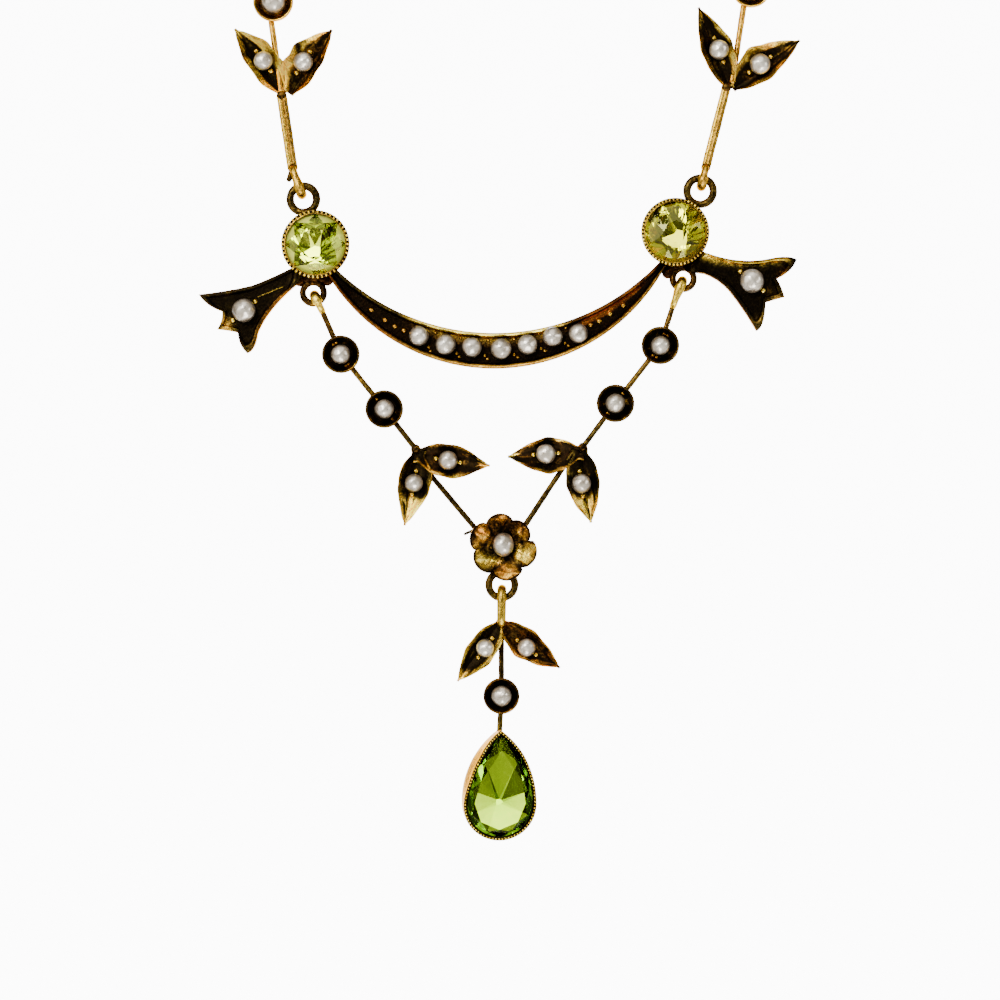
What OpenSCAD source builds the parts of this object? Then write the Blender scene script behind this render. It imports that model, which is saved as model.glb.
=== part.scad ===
// Festoon necklace: a crescent bar between two peridot collets, with ribbon tails,
// a V-shaped leaf garland below it, a pear drop, two side links and a link chain.
// Millimetres. The origin is at the nape, in the middle of the clasp; +Z is up and
// the ornament faces -Y. The ornament's own drawing plane is moved there by front().
// In that plane a point is [x, y, z]: x to the right, y to the back, z up.

/* [Placement] */
// How far the ornament's plane lies before the nape
front_reach = 112; // [108:1:116]
// How far the middle of the ornament's drawing lies below the nape
front_drop = 113.1; // [110:0.1:116]

/* [Stones] */
// Girdle diameter of the round peridots
round_stone_d = 5.6; // [5.5:0.01:5.62]
// Table diameter of the left peridot
left_table_d = 2.9; // [2:0.1:3.2]
// Table diameter of the right peridot, an older and steeper cut
right_table_d = 2.0; // [1.6:0.1:3]
// Height of the stones above the girdle
crown_h = 0.75; // [0.5:0.05:0.8]
// Depth of the stones below the girdle
pavilion_h = 2.1; // [1.6:0.1:2.2]

/* [Collets] */
// Outer diameter of a round collet
collet_d = 6.12; // [6.1:0.01:6.3]
// Width of the pear collet
pear_w = 6.76; // [6.6:0.02:7]
// Length of the pear collet from the middle of its round end to its tip
pear_tip = 6.55; // [6.3:0.05:6.8]
// Depth of the collets before the ornament's plane
collet_front = 1.7; // [1.6:0.05:1.9]
// Depth of the collets behind it
collet_back = 1.3; // [1.1:0.05:1.5]

/* [Metal] */
// Diameter of the plain link wires
wire_d = 0.45; // [0.4:0.01:0.55]
// Diameter of the wire of an eye
eye_wire_d = 0.5; // [0.45:0.01:0.55]
// Diameter of the drop's heavier bail
bail_wire_d = 0.65; // [0.5:0.01:0.68]
// Running clearance between an eye and the ring it hangs on
eye_gap = 0.15; // [0.12:0.01:0.18]
// Gap between a stone or pearl and its seat
seat_gap = 0.04; // [0.03:0.01:0.06]
// Wall thickness of the leaves and of the flower
leaf_t = 0.3; // [0.25:0.01:0.35]
// How far a leaf's edges rise before its trough
leaf_cup = 0.85; // [0.6:0.05:1]
// Depth of the crescent bar
bar_h = 1.5; // [1.3:0.05:1.7]
// Depth of the channel cut into it
channel_h = 0.65; // [0.5:0.05:0.8]
// Width of the bar's and the tails' raised rims
rim_w = 0.38; // [0.3:0.01:0.45]
// Diameter of a raised grain of metal
grain_d = 0.44; // [0.36:0.01:0.5]

/* [Chain] */
// Links on each side
links = 60; // [58:1:62]
// Wire diameter of a link
link_wire_d = 0.46; // [0.42:0.01:0.5]
// Width of a link over its wires
link_w = 2.0; // [1.9:0.05:2.2]
// Gap between two links where one hangs in the other
link_gap = 0.2; // [0.18:0.01:0.22]
// Length of the clasp's barrel
clasp_l = 9; // [8:0.5:10]
// Diameter of the clasp's barrel
clasp_d = 3; // [2.6:0.1:3.4]

/* [Hidden] */
$fn = 48;
FACET_FN = 24;

// Places in the ornament's plane. The rings' centres, their outer diameters and wires.
COLLET_LEFT = [-16.56, 0, 22.95];
COLLET_RIGHT = [15.73, 0, 24.05];
RING_Y = 0.3;
TOP_RING = [3.08, 0.7];
LOW_RING = [2.5, 0.6];
TOP_RING_LEFT = [-17.71, RING_Y, 27.1];
TOP_RING_RIGHT = [18.03, RING_Y, 27.81];
LOW_RING_LEFT = [-16.81, RING_Y, 18.66];
LOW_RING_RIGHT = [16.5, RING_Y, 19.95];
FLOWER_RING = [3.0, 0.66];
FLOWER_RING_AT = [0.17, RING_Y, -7.64];

// The crescent bar is one disc less another: [x, z, radius].
BAR_DISC = [-0.53, 29.34, 17.52];
BAR_CUT = [-0.5, 35.44, 20.42];
BAR_FRONT = 0.8;
BAR_FLOOR = BAR_FRONT - channel_h;

// A ribbon tail's outline. Each row is a corner and the control point of the curve
// that leads on from it: [x, z, control x, control z].
TAIL_LEFT = [
    [-17.4, 21.6, -20.1, 20.1], [-22.3, 19.3, -24.6, 18.75], [-27.12, 18.5, -26.4, 17.4],
    [-25.0, 16.95, -24.9, 16.2], [-25.45, 15.35, -24.4, 15.25], [-23.6, 15.05, -23.5, 13.9],
    [-22.75, 13.2, -22.0, 13.4], [-21.75, 15.0, -20.9, 17.2], [-18.1, 19.5, -17.6, 20.2]
];
TAIL_RIGHT = [
    [16.6, 20.6, 19.0, 20.6], [20.6, 18.8, 21.9, 17.2], [23.05, 15.2, 23.8, 15.4],
    [23.9, 17.75, 24.6, 18.0], [25.6, 18.25, 25.3, 19.3], [24.9, 19.9, 26.3, 20.5],
    [26.7, 21.65, 26.0, 22.05], [24.4, 21.75, 21.6, 21.1], [18.4, 22.3, 17.2, 23]
];
TAIL_FRONT = 0.65;
TAIL_H = 1.15;
TAIL_FLOOR = 0.3;
TAIL_RECESS = 0.8;
// Solder beside the low rings: [x, z, diameter]
LOW_SOLDER = [[-18.05, 19.75, 1.1], [-15.55, 19.8, 1.1], [14.95, 20.0, 1.4]];

// Leaves: [base x, base z, tip x, tip z, half widths left and right of the way, curl].
LEAVES_SIDE_LEFT = [
    [-19.5, 36.5, -23.9, 42.4, 1.1, 1.8, 0.3], [-18.85, 36.5, -15.1, 42.3, 2.2, 0.95, 0.3]
];
LEAVES_SIDE_RIGHT = [
    [20.7, 37.0, 17.85, 44.35, 1.2, 1.6, 0.3], [21.0, 37.0, 27.0, 41.35, 1.95, 1.15, 0.3]
];
LEAVES_ARM_LEFT = [
    [-7.65, 4.2, -0.9, 3.1, 1.3, 1.7, 0.35], [-7.4, 4.5, -8.6, -2.3, 1.65, 1.2, 0.5]
];
LEAVES_ARM_RIGHT = [
    [7.5, 4.35, 0.7, 3.9, 1.65, 1.4, 0.35], [7.3, 4.6, 8.2, -2.05, 1.25, 1.75, 0.5]
];
LEAVES_DROP = [
    [0.0, -11.0, -3.83, -16.3, 1.4, 1.15, 0.5], [0.2, -11.0, 5.4, -15.1, 1.15, 1.6, 0.3]
];

// Pearls: [x, z, diameter]. Those of a leaf pair come in the order of its leaves.
PEARLS_SWAG = [
    [-7.29, 14.75, 1.9], [-4.9, 13.98, 1.95], [-2.52, 13.75, 1.9], [0.09, 13.59, 2.0],
    [2.46, 13.98, 1.9], [4.73, 14.68, 1.9], [7.04, 14.98, 1.85]
];
PEARLS_TAIL = [[-23.01, 17.02, 2.25], [22.64, 19.68, 2.3]];
PEARLS_SIDE_LEFT = [[-21.3, 39.5, 1.85], [-17.7, 39.4, 1.9], [-20.39, 44.82, 2.3]];
PEARLS_SIDE_RIGHT = [[19.7, 40.5, 1.9], [23.4, 39.2, 2.0], [22.59, 46.08, 2.3]];
PEARLS_ARM_LEFT = [[-14.31, 13.1, 1.85], [-10.4, 8.18, 1.85], [-4.68, 3.56, 1.85], [-7.74, 1.54, 1.75]];
PEARLS_ARM_RIGHT = [[14.42, 13.9, 1.85], [10.38, 8.69, 1.85], [4.12, 4.15, 1.9], [7.31, 1.47, 1.85]];
PEARL_FLOWER = [0.3, -4.0, 2.15];
PEARLS_DROP = [[-1.34, -13.32, 1.75], [2.39, -13.28, 1.75], [0.13, -17.62, 1.95]];
// Grains of the bar beyond its pearls: [x, z]
BAR_GRAINS = [
    [-8.65, 15.25], [-9.45, 15.62], [-10.35, 16.2], [-11.6, 17.1],
    [8.15, 15.75], [8.9, 16.1], [9.9, 16.75], [11.1, 17.5]
];

// The wires' points in the plane, each [x, z]. An arm: the end of its eye, its leaf joint,
// and the ends of the wire from the leaves to the flower's back.
ARM_LEFT = [[-16.02, 17.01], [-7.6, 4.6], [-7.42, 3.64], [-0.8, -4.24]];
ARM_RIGHT = [[15.57, 17.46], [7.45, 4.75], [6.6, 4.3], [1.35, -3.64]];
// A side link: the end of its eye, its leaf joint, and the ends of the wire up to its cup.
SIDE_LEFT = [[-18.68, 29.88], [-19.67, 36.45], [-19.67, 36.6], [-20.82, 44.6]];
SIDE_RIGHT = [[18.54, 29.97], [20.39, 37.17], [20.9, 37.6], [22.15, 45.8]];
// The drop: its leaf joint and the middle of the pear's round end.
DROP_JOINT = [0.12, RING_Y, -11.2];
PEAR_AT = [-0.08, 0, -27.19];

// The flower: its middle, each petal's reach counted from the upper right, and its form.
FLOWER_AT = [0.3, 0, -4.05];
PETAL_R = [2.75, 2.85, 3.1, 3.05, 3.2, 3.1];
PETAL_TURN = 40;
FLOWER_NOTCH = 0.84;
FLOWER_RISE = 1.15;
FLOWER_BACK = 0.65;

// Cups: outer diameters, and how far they stand before and behind the plane.
ARM_CUP_D = 3.4;
SIDE_CUP_D = 3.6;
DROP_CUP_D = 3.25;
CUP_FRONT = 0.75;
CUP_BACK = 0.6;
PEARL_SINK = 0.6;
PEARL_CUT = 0.05;
POST_SHARE = 0.72;
GRAIN_REACH = 0.4;
CUP_FLOOR = 0;
LEAF_FLOOR = -0.2;
FLOWER_FLOOR = -0.12;
SOLDER_D = 1.1;
WIRE_TRIM = 0.35;

// Route of the left chain from the clasp to the side link, chosen by hand: [x, y, z].
CHAIN_ROUTE = [
    [-14, 0, -0.5], [-30, -4, -3], [-46, -17, -8], [-56, -40, -16],
    [-56, -64, -25], [-46, -87, -34], [-31, -105.5, -44]
];
STEPS = 8;
TOP_EYE = [2.5, 0.5];
TOP_EYE_REACH = 3.95;
CLASP_RING = [2.4, 0.5];
CLASP_RING_REACH = 0.8;
ROLL = 45;
LEAD = 7;
NECK_MIDDLE = 56;
PITCH_OVER = link_wire_d + link_gap;
LINK_CORNERS = 10;
LINK_SIDES = 5;

GOLD = [0.83, 0.62, 0.25];
PERIDOT = [0.62, 0.72, 0.2];
PEARL = [0.87, 0.85, 0.8];

// Vectors and curves

function unit(v) = v / norm(v);
function mix(a, b, t) = a + (b - a) * t;
function in_plane(p) = [p[0], RING_Y, p[1]];
function bezier(a, c, b, t) = mix(mix(a, c, t), mix(c, b, t), t);
function spline(a, b, c, d, t) =
    b + (c - a) * t / 2 + (2 * a - 5 * b + 4 * c - d) * t * t / 2
    + (3 * b - a - 3 * c + d) * t * t * t / 2;

// Moves a piece drawn in the ornament's plane to its place below the nape.
module front() {
    translate([0, -front_reach, -front_drop]) children();
}

// Turns a piece so that its own +Z faces the viewer, at p.
module facing(p) {
    translate(p) rotate([90, 0, 0]) children();
}

// A straight wire between two points, stopped short of each by trim.
module wire(a, b, d = wire_d, trim = WIRE_TRIM) {
    run = b - a;
    translate(a + unit(run) * trim)
        rotate([0, acos(run[2] / norm(run)), atan2(run[1], run[0])])
            cylinder(d = d, h = norm(run) - 2 * trim, $fn = FACET_FN);
}

// A lump of solder where wires meet.
module solder(p, d = SOLDER_D) {
    translate(p) rotate([90, 0, 0]) rotate_extrude() polygon(d * [
        [0, -0.45], [0.26, -0.43], [0.48, -0.2], [0.48, 0.2], [0.26, 0.43], [0, 0.45]
    ]);
}

// A round ring of [outer diameter, wire diameter].
module ring(size) {
    rotate_extrude() translate([(size[0] - size[1]) / 2, 0]) circle(d = size[1], $fn = FACET_FN);
}

// The half of an eye's end, bent round a radius r.
module eye_end(r, d) {
    rotate([0, 90, 0]) rotate([0, 0, 90])
        rotate_extrude(angle = 180) translate([r, 0]) circle(d = d, $fn = FACET_FN);
}

// A long eye seen edge-on. It bends round the wire at a with radius r and ends at b.
module eye(a, b, r, d = eye_wire_d) {
    run = b - a;
    straight = norm(run) - r;
    translate(a) rotate([0, atan2(run[0], run[2]), 0]) {
        mirror([0, 0, 1]) eye_end(r, d);
        translate([0, 0, straight]) eye_end(r, d);
        for (side = [-r, r])
            translate([0, side, 0]) cylinder(d = d, h = straight, $fn = FACET_FN);
    }
}

// The point of a ring's wire that lies towards another point, where an eye hangs.
function ring_wire(centre, size, towards) =
    centre + unit(towards - centre) * (size[0] - size[1]) / 2;
function eye_r(size, d = eye_wire_d) = size[1] / 2 + eye_gap + d / 2;

// Pearls and their seats

function pearl_at(row, floor) = [row[0], -floor, row[1]];

// A pearl with a flat back, standing a gap before its floor.
module pearl(row, floor) {
    r = row[2] / 2;
    facing(pearl_at(row, floor)) difference() {
        translate([0, 0, seat_gap + PEARL_SINK * r]) sphere(r = r);
        translate([0, 0, seat_gap - r]) cube(2 * r, center = true);
    }
}

// The room that a pearl needs before its floor.
module pearl_room(row, floor) {
    facing(pearl_at(row, floor)) cylinder(d = row[2] + 2 * seat_gap, h = row[2] + 1);
}

// A post behind a pearl, up to its floor.
module pearl_post(row, floor, back) {
    facing([row[0], back, row[1]]) cylinder(d = row[2] * POST_SHARE, h = floor + back);
}

module grain(p, floor) {
    translate([p[0], -floor, p[1]]) sphere(d = grain_d, $fn = FACET_FN);
}

// Two grains beside a pearl, on the line along a direction.
module grain_pair(row, along, floor) {
    reach = row[2] / 2 + grain_d * GRAIN_REACH;
    for (side = [-1, 1])
        grain([row[0], row[1]] + side * reach * unit(along), floor);
}

// A round cup for a pearl, open to the front.
module cup(p, d) {
    r = d / 2;
    facing(p) rotate_extrude() polygon([
        [0, -CUP_BACK], [r * 0.62, -CUP_BACK], [r, 0.15], [r, CUP_FRONT], [r - 0.2, CUP_FRONT],
        [r - 0.55, CUP_FLOOR], [0, CUP_FLOOR]
    ]);
}

// Leaves

function leaf_width(t) = max(0.1, pow(sin(180 * pow(t, 0.8)), 0.9));

// One cross-section of a leaf: five points over its front and five over its back.
function leaf_section(row, t) =
    let (base = [row[0], row[1]], tip = [row[2], row[3]], way = unit(tip - base),
         left = [-way[1], way[0]], mid = mix(base, tip, t), swell = leaf_width(t),
         rise = row[6] * pow(t, 3) - RING_Y)
    [for (layer = [0, 1], k = [0 : 4])
        let (a = layer == 0 ? k / 2 - 1 : 1 - k / 2,
             half = (a < 0 ? row[5] : row[4]) * swell,
             p = mid + left * a * half,
             f = rise + leaf_cup * swell * pow(abs(a), 1.7) - layer * leaf_t)
        [p[0], -f, p[1]]];

// A closed skin over equal sections, each a ring of n points.
module skin(sections) {
    n = len(sections[0]);
    last = len(sections) - 1;
    points = [for (s = sections) for (p = s) p];
    sides = [for (i = [0 : last - 1], k = [0 : n - 1])
        let (a = i * n + k, b = i * n + (k + 1) % n)
        each [[a, b, a + n], [b, b + n, a + n]]];
    ends = [for (k = [1 : n - 2])
        each [[0, k + 1, k], [last * n, last * n + k, last * n + k + 1]]];
    polyhedron(points, concat(sides, ends));
}

module leaf(row) {
    skin([for (i = [0 : STEPS]) leaf_section(row, i / STEPS)]);
}

// A pair of leaves with their pearls' posts and grains, and room cut for the pearls.
module leaf_pair(rows, pearls) {
    difference() {
        union() {
            for (row = rows) leaf(row);
            for (i = [0, 1]) {
                pearl_post(pearls[i], LEAF_FLOOR, RING_Y + leaf_t * 0.8);
                grain_pair(pearls[i], [rows[i][2] - rows[i][0], rows[i][3] - rows[i][1]], LEAF_FLOOR);
            }
        }
        for (i = [0, 1]) pearl_room(pearls[i], LEAF_FLOOR);
    }
}

// Collets and stones

SEAT_R = round_stone_d / 2 + seat_gap;
GIRDLE = 1.0;
GIRDLE_H = 0.1;
SEAT_LOW = GIRDLE - 0.07;
SEAT_LIP = GIRDLE + GIRDLE_H + 0.04;
LIP_IN = 0.14;
LEDGE_IN = 0.5;

module collet_wall() {
    r = collet_d / 2;
    rotate_extrude() polygon([
        [0, -collet_back], [r - 0.42, -collet_back], [r, SEAT_LIP], [r, collet_front], [0, collet_front]
    ]);
}

// The hollow of a round collet, from its open back to the lip over the stone.
module collet_hollow() {
    rotate_extrude() polygon([
        [0, -collet_back - 1], [SEAT_R - LEDGE_IN - 0.1, -collet_back - 1],
        [SEAT_R - LEDGE_IN, GIRDLE - 0.45], [SEAT_R, SEAT_LOW], [SEAT_R, SEAT_LIP],
        [SEAT_R - LIP_IN, SEAT_LIP + 0.12], [SEAT_R - LIP_IN, collet_front + 1],
        [0, collet_front + 1]
    ]);
}

// A cut stone from an outline function's points: a table, a crown of triangles,
// a girdle band and a pavilion that meets in one point.
module cut_stone(table, girdle) {
    n = len(girdle);
    m = len(table);
    points = concat(
        [for (p = table) [p[0], p[1], GIRDLE + GIRDLE_H + crown_h]],
        [for (p = girdle) [p[0], p[1], GIRDLE + GIRDLE_H]],
        [for (p = girdle) [p[0], p[1], GIRDLE]],
        [[0, 0, GIRDLE - pavilion_h]]
    );
    tip = m + 2 * n;
    top = [for (k = [1 : m - 2]) [0, k, k + 1]];
    crown = [for (k = [0 : m - 1])
        let (here = m + 2 * k, next = m + 2 * k + 1, last = m + (2 * k + 2) % n)
        each [[k, here, next], [k, next, (k + 1) % m], [(k + 1) % m, next, last]]];
    band = [for (k = [0 : n - 1])
        let (a = m + k, b = m + (k + 1) % n)
        each [[a, a + n, b], [b, a + n, b + n]]];
    low = [for (k = [0 : n - 1]) [m + n + k, tip, m + n + (k + 1) % n]];
    polyhedron(points, [for (f = concat(top, crown, band, low)) [f[2], f[1], f[0]]]);
}

function round_outline(r, n) = [for (k = [0 : n - 1]) r * [cos(360 * k / n), sin(360 * k / n)]];

// The pear outline is a circle whose upper part is drawn out to a point by two arcs.
PEAR_R = pear_w / 2;
PEAR_ARC = (pear_tip * pear_tip + PEAR_R * PEAR_R) / (2 * PEAR_R);
function pear_radius(a, inset) =
    let (r = PEAR_R - inset, arc = PEAR_ARC - inset, off = PEAR_ARC - PEAR_R, c = off * abs(cos(a)))
    sin(a) <= 0 ? r : -c + sqrt(c * c + arc * arc - off * off);
function pear_outline(inset, n, turn = 90) =
    [for (k = [0 : n - 1]) let (a = turn + 360 * k / n) pear_radius(a, inset) * [cos(a), sin(a)]];

module pear_shape(inset) {
    off = PEAR_ARC - PEAR_R;
    circle(r = PEAR_R - inset);
    intersection() {
        translate([-off, 0]) circle(r = PEAR_ARC - inset);
        translate([off, 0]) circle(r = PEAR_ARC - inset);
        translate([-PEAR_R, 0]) square([2 * PEAR_R, pear_tip]);
    }
}

// Frames

// Where a ring is soldered to a collet's wall.
function collet_edge(collet, ring_at) =
    [0, RING_Y, 0] + collet + (collet_d / 2 - 0.15) * unit(ring_at - collet - [0, RING_Y, 0]);

// A slab of the crescent, its rims drawn in by inset, from one depth to another.
module crescent(inset, low, high) {
    facing([0, -low, 0]) linear_extrude(high - low) difference() {
        translate([BAR_DISC[0], BAR_DISC[1]]) circle(r = BAR_DISC[2] - inset);
        translate([BAR_CUT[0], BAR_CUT[1]]) circle(r = BAR_CUT[2] + inset);
    }
}

function tail_outline(rows) =
    [for (i = [0 : len(rows) - 1], t = [0 : 0.25 : 0.75])
        let (row = rows[i], next = rows[(i + 1) % len(rows)])
        bezier([row[0], row[1]], [row[2], row[3]], [next[0], next[1]], t)];

// A ribbon tail: a plate with a sunk face, and a pearl between two grains.
module tail(rows, pearl_row, along) {
    centre = [pearl_row[0], pearl_row[1]];
    difference() {
        facing([0, TAIL_H - TAIL_FRONT, 0]) linear_extrude(TAIL_H) polygon(tail_outline(rows));
        facing([0, -TAIL_FLOOR, 0]) linear_extrude(TAIL_H)
            translate(centre) scale(TAIL_RECESS) translate(-centre) polygon(tail_outline(rows));
        pearl_room(pearl_row, TAIL_FLOOR - PEARL_CUT);
    }
    grain_pair(pearl_row, along, TAIL_FLOOR);
}

module bar() {
    difference() {
        crescent(0, BAR_FRONT - bar_h, BAR_FRONT);
        crescent(rim_w, BAR_FLOOR, BAR_FRONT + 1);
    }
    for (p = BAR_GRAINS) grain(p, BAR_FLOOR);
}

// The soldered frame of the swag: bar, tails, two collets and their rings.
module swag_frame() {
    color(GOLD) front() difference() {
        union() {
            bar();
            tail(TAIL_LEFT, PEARLS_TAIL[0], [1.2, -1]);
            tail(TAIL_RIGHT, PEARLS_TAIL[1], [1.2, -1]);
            for (p = [COLLET_LEFT, COLLET_RIGHT]) facing(p) collet_wall();
            for (p = [TOP_RING_LEFT, TOP_RING_RIGHT]) facing(p) ring(TOP_RING);
            for (p = [LOW_RING_LEFT, LOW_RING_RIGHT]) facing(p) ring(LOW_RING);
            for (p = [TOP_RING_LEFT, LOW_RING_LEFT]) solder(collet_edge(COLLET_LEFT, p));
            for (p = [TOP_RING_RIGHT, LOW_RING_RIGHT]) solder(collet_edge(COLLET_RIGHT, p));
            for (row = LOW_SOLDER) solder(in_plane(row), row[2]);
        }
        for (p = [COLLET_LEFT, COLLET_RIGHT]) facing(p) collet_hollow();
        for (row = PEARLS_SWAG) pearl_room(row, BAR_FLOOR - PEARL_CUT);
    }
}

// One arm of the garland, from the eye on a collet's ring to the flower's back.
module garland_arm(ring_at, points, leaves, pearls) {
    low = in_plane(points[0]);
    joint = in_plane(points[1]);
    cups = [for (i = [0, 1]) in_plane(pearls[i])];
    eye(ring_wire(ring_at, LOW_RING, low), low, eye_r(LOW_RING));
    wire(low - WIRE_TRIM * unit(cups[0] - low), cups[0]);
    wire(cups[0], cups[1]);
    wire(cups[1], joint);
    solder(joint, 1.35);
    wire(in_plane(points[2]), in_plane(points[3]), wire_d, 0);
    for (p = cups) cup([p[0], 0, p[2]], ARM_CUP_D);
    leaf_pair(leaves, [pearls[2], pearls[3]]);
}

PETALS = len(PETAL_R);
PETAL_ARC = 360 / PETALS;
function flower_radius(a) =
    let (petal = floor((a - PETAL_TURN + 360 + PETAL_ARC / 2) / PETAL_ARC) % PETALS)
    PETAL_R[petal] * (FLOWER_NOTCH
        + (1 - FLOWER_NOTCH) * pow(abs(cos(PETALS / 2 * (a - PETAL_TURN))), 0.7));

// The flower's cupped front or, a wall thickness deeper, its back.
function flower_ring(s, layer) =
    [for (k = [0 : 6 * PETALS - 1])
        let (a = 10 * k, r = s * flower_radius(a))
        [r * cos(a), r * sin(a), FLOWER_RISE * pow(s, 1.7) - leaf_t * layer - 0.3]];

module flower() {
    spans = [0.3, 0.6, 0.82, 1];
    rings = concat(
        [for (s = spans) flower_ring(s, 0)],
        [for (i = [3 : -1 : 0]) flower_ring(spans[i], 1)]
    );
    facing(FLOWER_AT) skin(rings);
}

// The V-shaped garland, one soldered piece.
module garland_frame() {
    color(GOLD) front() difference() {
        union() {
            garland_arm(LOW_RING_LEFT, ARM_LEFT, LEAVES_ARM_LEFT, PEARLS_ARM_LEFT);
            garland_arm(LOW_RING_RIGHT, ARM_RIGHT, LEAVES_ARM_RIGHT, PEARLS_ARM_RIGHT);
            flower();
            facing([FLOWER_AT[0], FLOWER_BACK, FLOWER_AT[2]]) cylinder(d = 2.4, h = 0.45);
            facing(FLOWER_RING_AT) ring(FLOWER_RING);
            wire(FLOWER_AT + [0, 0.4, 0], FLOWER_RING_AT + [0, 0.1, 1.2], 0.6);
            solder(FLOWER_RING_AT + [0, 0, 1.3], 0.9);
        }
        pearl_room(PEARL_FLOWER, FLOWER_FLOOR);
    }
}

// The drop: bail, leaf pair, cup and pear collet.
module drop_frame() {
    hang = ring_wire(FLOWER_RING_AT, FLOWER_RING, DROP_JOINT);
    cup_at = in_plane(PEARLS_DROP[2]);
    color(GOLD) front() {
        eye(hang, DROP_JOINT, eye_r(FLOWER_RING, bail_wire_d), bail_wire_d);
        solder(DROP_JOINT, 0.9);
        wire(DROP_JOINT, cup_at);
        wire(cup_at, PEAR_AT + [0, RING_Y, pear_tip - 0.9]);
        leaf_pair(LEAVES_DROP, PEARLS_DROP);
        cup([cup_at[0], 0, cup_at[2]], DROP_CUP_D);
        facing(PEAR_AT) difference() {
            translate([0, 0, -collet_back]) linear_extrude(collet_back + collet_front) pear_shape(0);
            translate([0, 0, SEAT_LIP]) linear_extrude(1) pear_shape(0.4);
            translate([0, 0, 0.5]) linear_extrude(SEAT_LIP - 0.38) pear_shape(0.24);
            translate([0, 0, -collet_back - 1]) linear_extrude(collet_back + 2) pear_shape(0.8);
        }
    }
}

// A side link: eye, doubled stem, leaf pair, cup and the top eye for the chain.
module side_link(ring_at, points, leaves, pearls, stem_gap) {
    low = in_plane(points[0]);
    joint = in_plane(points[1]);
    way = unit(joint - low);
    side = [way[2], 0, -way[0]] * stem_gap / 2;
    cup_at = in_plane(pearls[2]);
    eye_at = top_eye(joint, cup_at);
    color(GOLD) front() {
        eye(ring_wire(ring_at, TOP_RING, low), low, eye_r(TOP_RING));
        solder(low, 0.9);
        solder(joint, 1.15);
        for (s = [-1, 1]) wire(low + s * side, joint + s * side, wire_d + 0.08, 0);
        wire(in_plane(points[2]), in_plane(points[3]), wire_d, 0.1);
        leaf_pair(leaves, pearls);
        cup([cup_at[0], 0, cup_at[2]], SIDE_CUP_D);
        wire(cup_at, ring_wire(eye_at, TOP_EYE, cup_at), 0.55, 0.1);
        translate(eye_at) multmatrix(chain_turn(joint - cup_at, ROLL + 90 * links, cup_at))
            ring(TOP_EYE);
    }
}

// Chain and clasp

function top_eye(joint, cup_at) = cup_at + TOP_EYE_REACH * unit(cup_at - joint);

// A frame along a direction: its plane is turned by roll about that direction,
// counted from the level line round the neck.
function chain_turn(way, roll, p) =
    let (t = unit(way), out = unit([p[0], p[1] + NECK_MIDDLE, 0]),
         n = unit(cross(t, out)), b = cross(t, n), u = n * cos(roll) + b * sin(roll),
         w = cross(t, u))
    [[t[0], u[0], w[0], 0], [t[1], u[1], w[1], 0], [t[2], u[2], w[2], 0], [0, 0, 0, 1]];

// The hand-chosen route, led into the clasp's ring and the side link's top eye.
function ring_hook(size) = (size[0] - size[1] - PITCH_OVER) / 2;
function chain_points(mirrored, joint, cup_at) =
    let (eye_c = top_eye(joint, cup_at) - [0, front_reach, front_drop],
         up = unit(cup_at - joint), hook = ring_hook(TOP_EYE),
         start = clasp_l / 2 + CLASP_RING_REACH + ring_hook(CLASP_RING),
         side = mirrored ? -1 : 1)
    concat([[-side * (start - LEAD), 0, 0], [-side * start, 0, 0]],
           [for (p = CHAIN_ROUTE) [side * p[0], p[1], p[2]]],
           [eye_c + up * (hook + LEAD), eye_c + up * hook, eye_c - up * LEAD]);

function chain_curve(points) =
    [for (i = [1 : len(points) - 3], t = [0 : 1 / STEPS : 0.999])
        spline(points[i - 1], points[i], points[i + 1], points[i + 2], t)];

function lengths(curve, i = 0, sum = 0) =
    i == len(curve) - 1 ? [sum]
    : concat([sum], lengths(curve, i + 1, sum + norm(curve[i + 1] - curve[i])));

// One link: ten corners along its wire, five sides round it.
module chain_link(half_l) {
    half_w = (link_w - link_wire_d) / 2;
    wire_r = link_wire_d / 2;
    turn = 360 / LINK_SIDES;
    sections = [for (k = [0 : LINK_CORNERS - 1])
        let (first = k < LINK_CORNERS / 2, a = 45 * k - (first ? 90 : 135),
             end = (first ? 1 : -1) * (half_l - half_w), out = [cos(a), sin(a), 0])
        [for (j = [0 : LINK_SIDES - 1])
            [end, 0, 0] + out * (half_w + cos(turn * j) * wire_r) + [0, 0, sin(turn * j) * wire_r]]];
    points = [for (s = sections) for (p = s) p];
    n = len(points);
    polyhedron(points, [for (k = [0 : LINK_CORNERS - 1], j = [0 : LINK_SIDES - 1])
        let (a = LINK_SIDES * k + j, b = LINK_SIDES * k + (j + 1) % LINK_SIDES,
             c = (a + LINK_SIDES) % n, d = (b + LINK_SIDES) % n)
        each [[a, b, c], [b, d, c]]]);
}

module chain(mirrored, side, pearls) {
    points = chain_points(mirrored, in_plane(side[1]), in_plane(pearls[2]));
    curve = concat(chain_curve(points), [points[len(points) - 2]]);
    run = lengths(curve);
    pitch = run[len(run) - 1] / links;
    along = [for (axis = [0 : 2]) [for (i = [0 : len(run) - 1]) [run[i], curve[i][axis]]]];
    stops = [for (i = [0 : links]) [for (axis = [0 : 2]) lookup(i * pitch, along[axis])]];
    color(GOLD) for (i = [0 : links - 1])
        translate((stops[i] + stops[i + 1]) / 2)
            multmatrix(chain_turn(stops[i + 1] - stops[i], ROLL + 90 * i, stops[i]))
                chain_link((pitch + PITCH_OVER) / 2);
}

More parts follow.
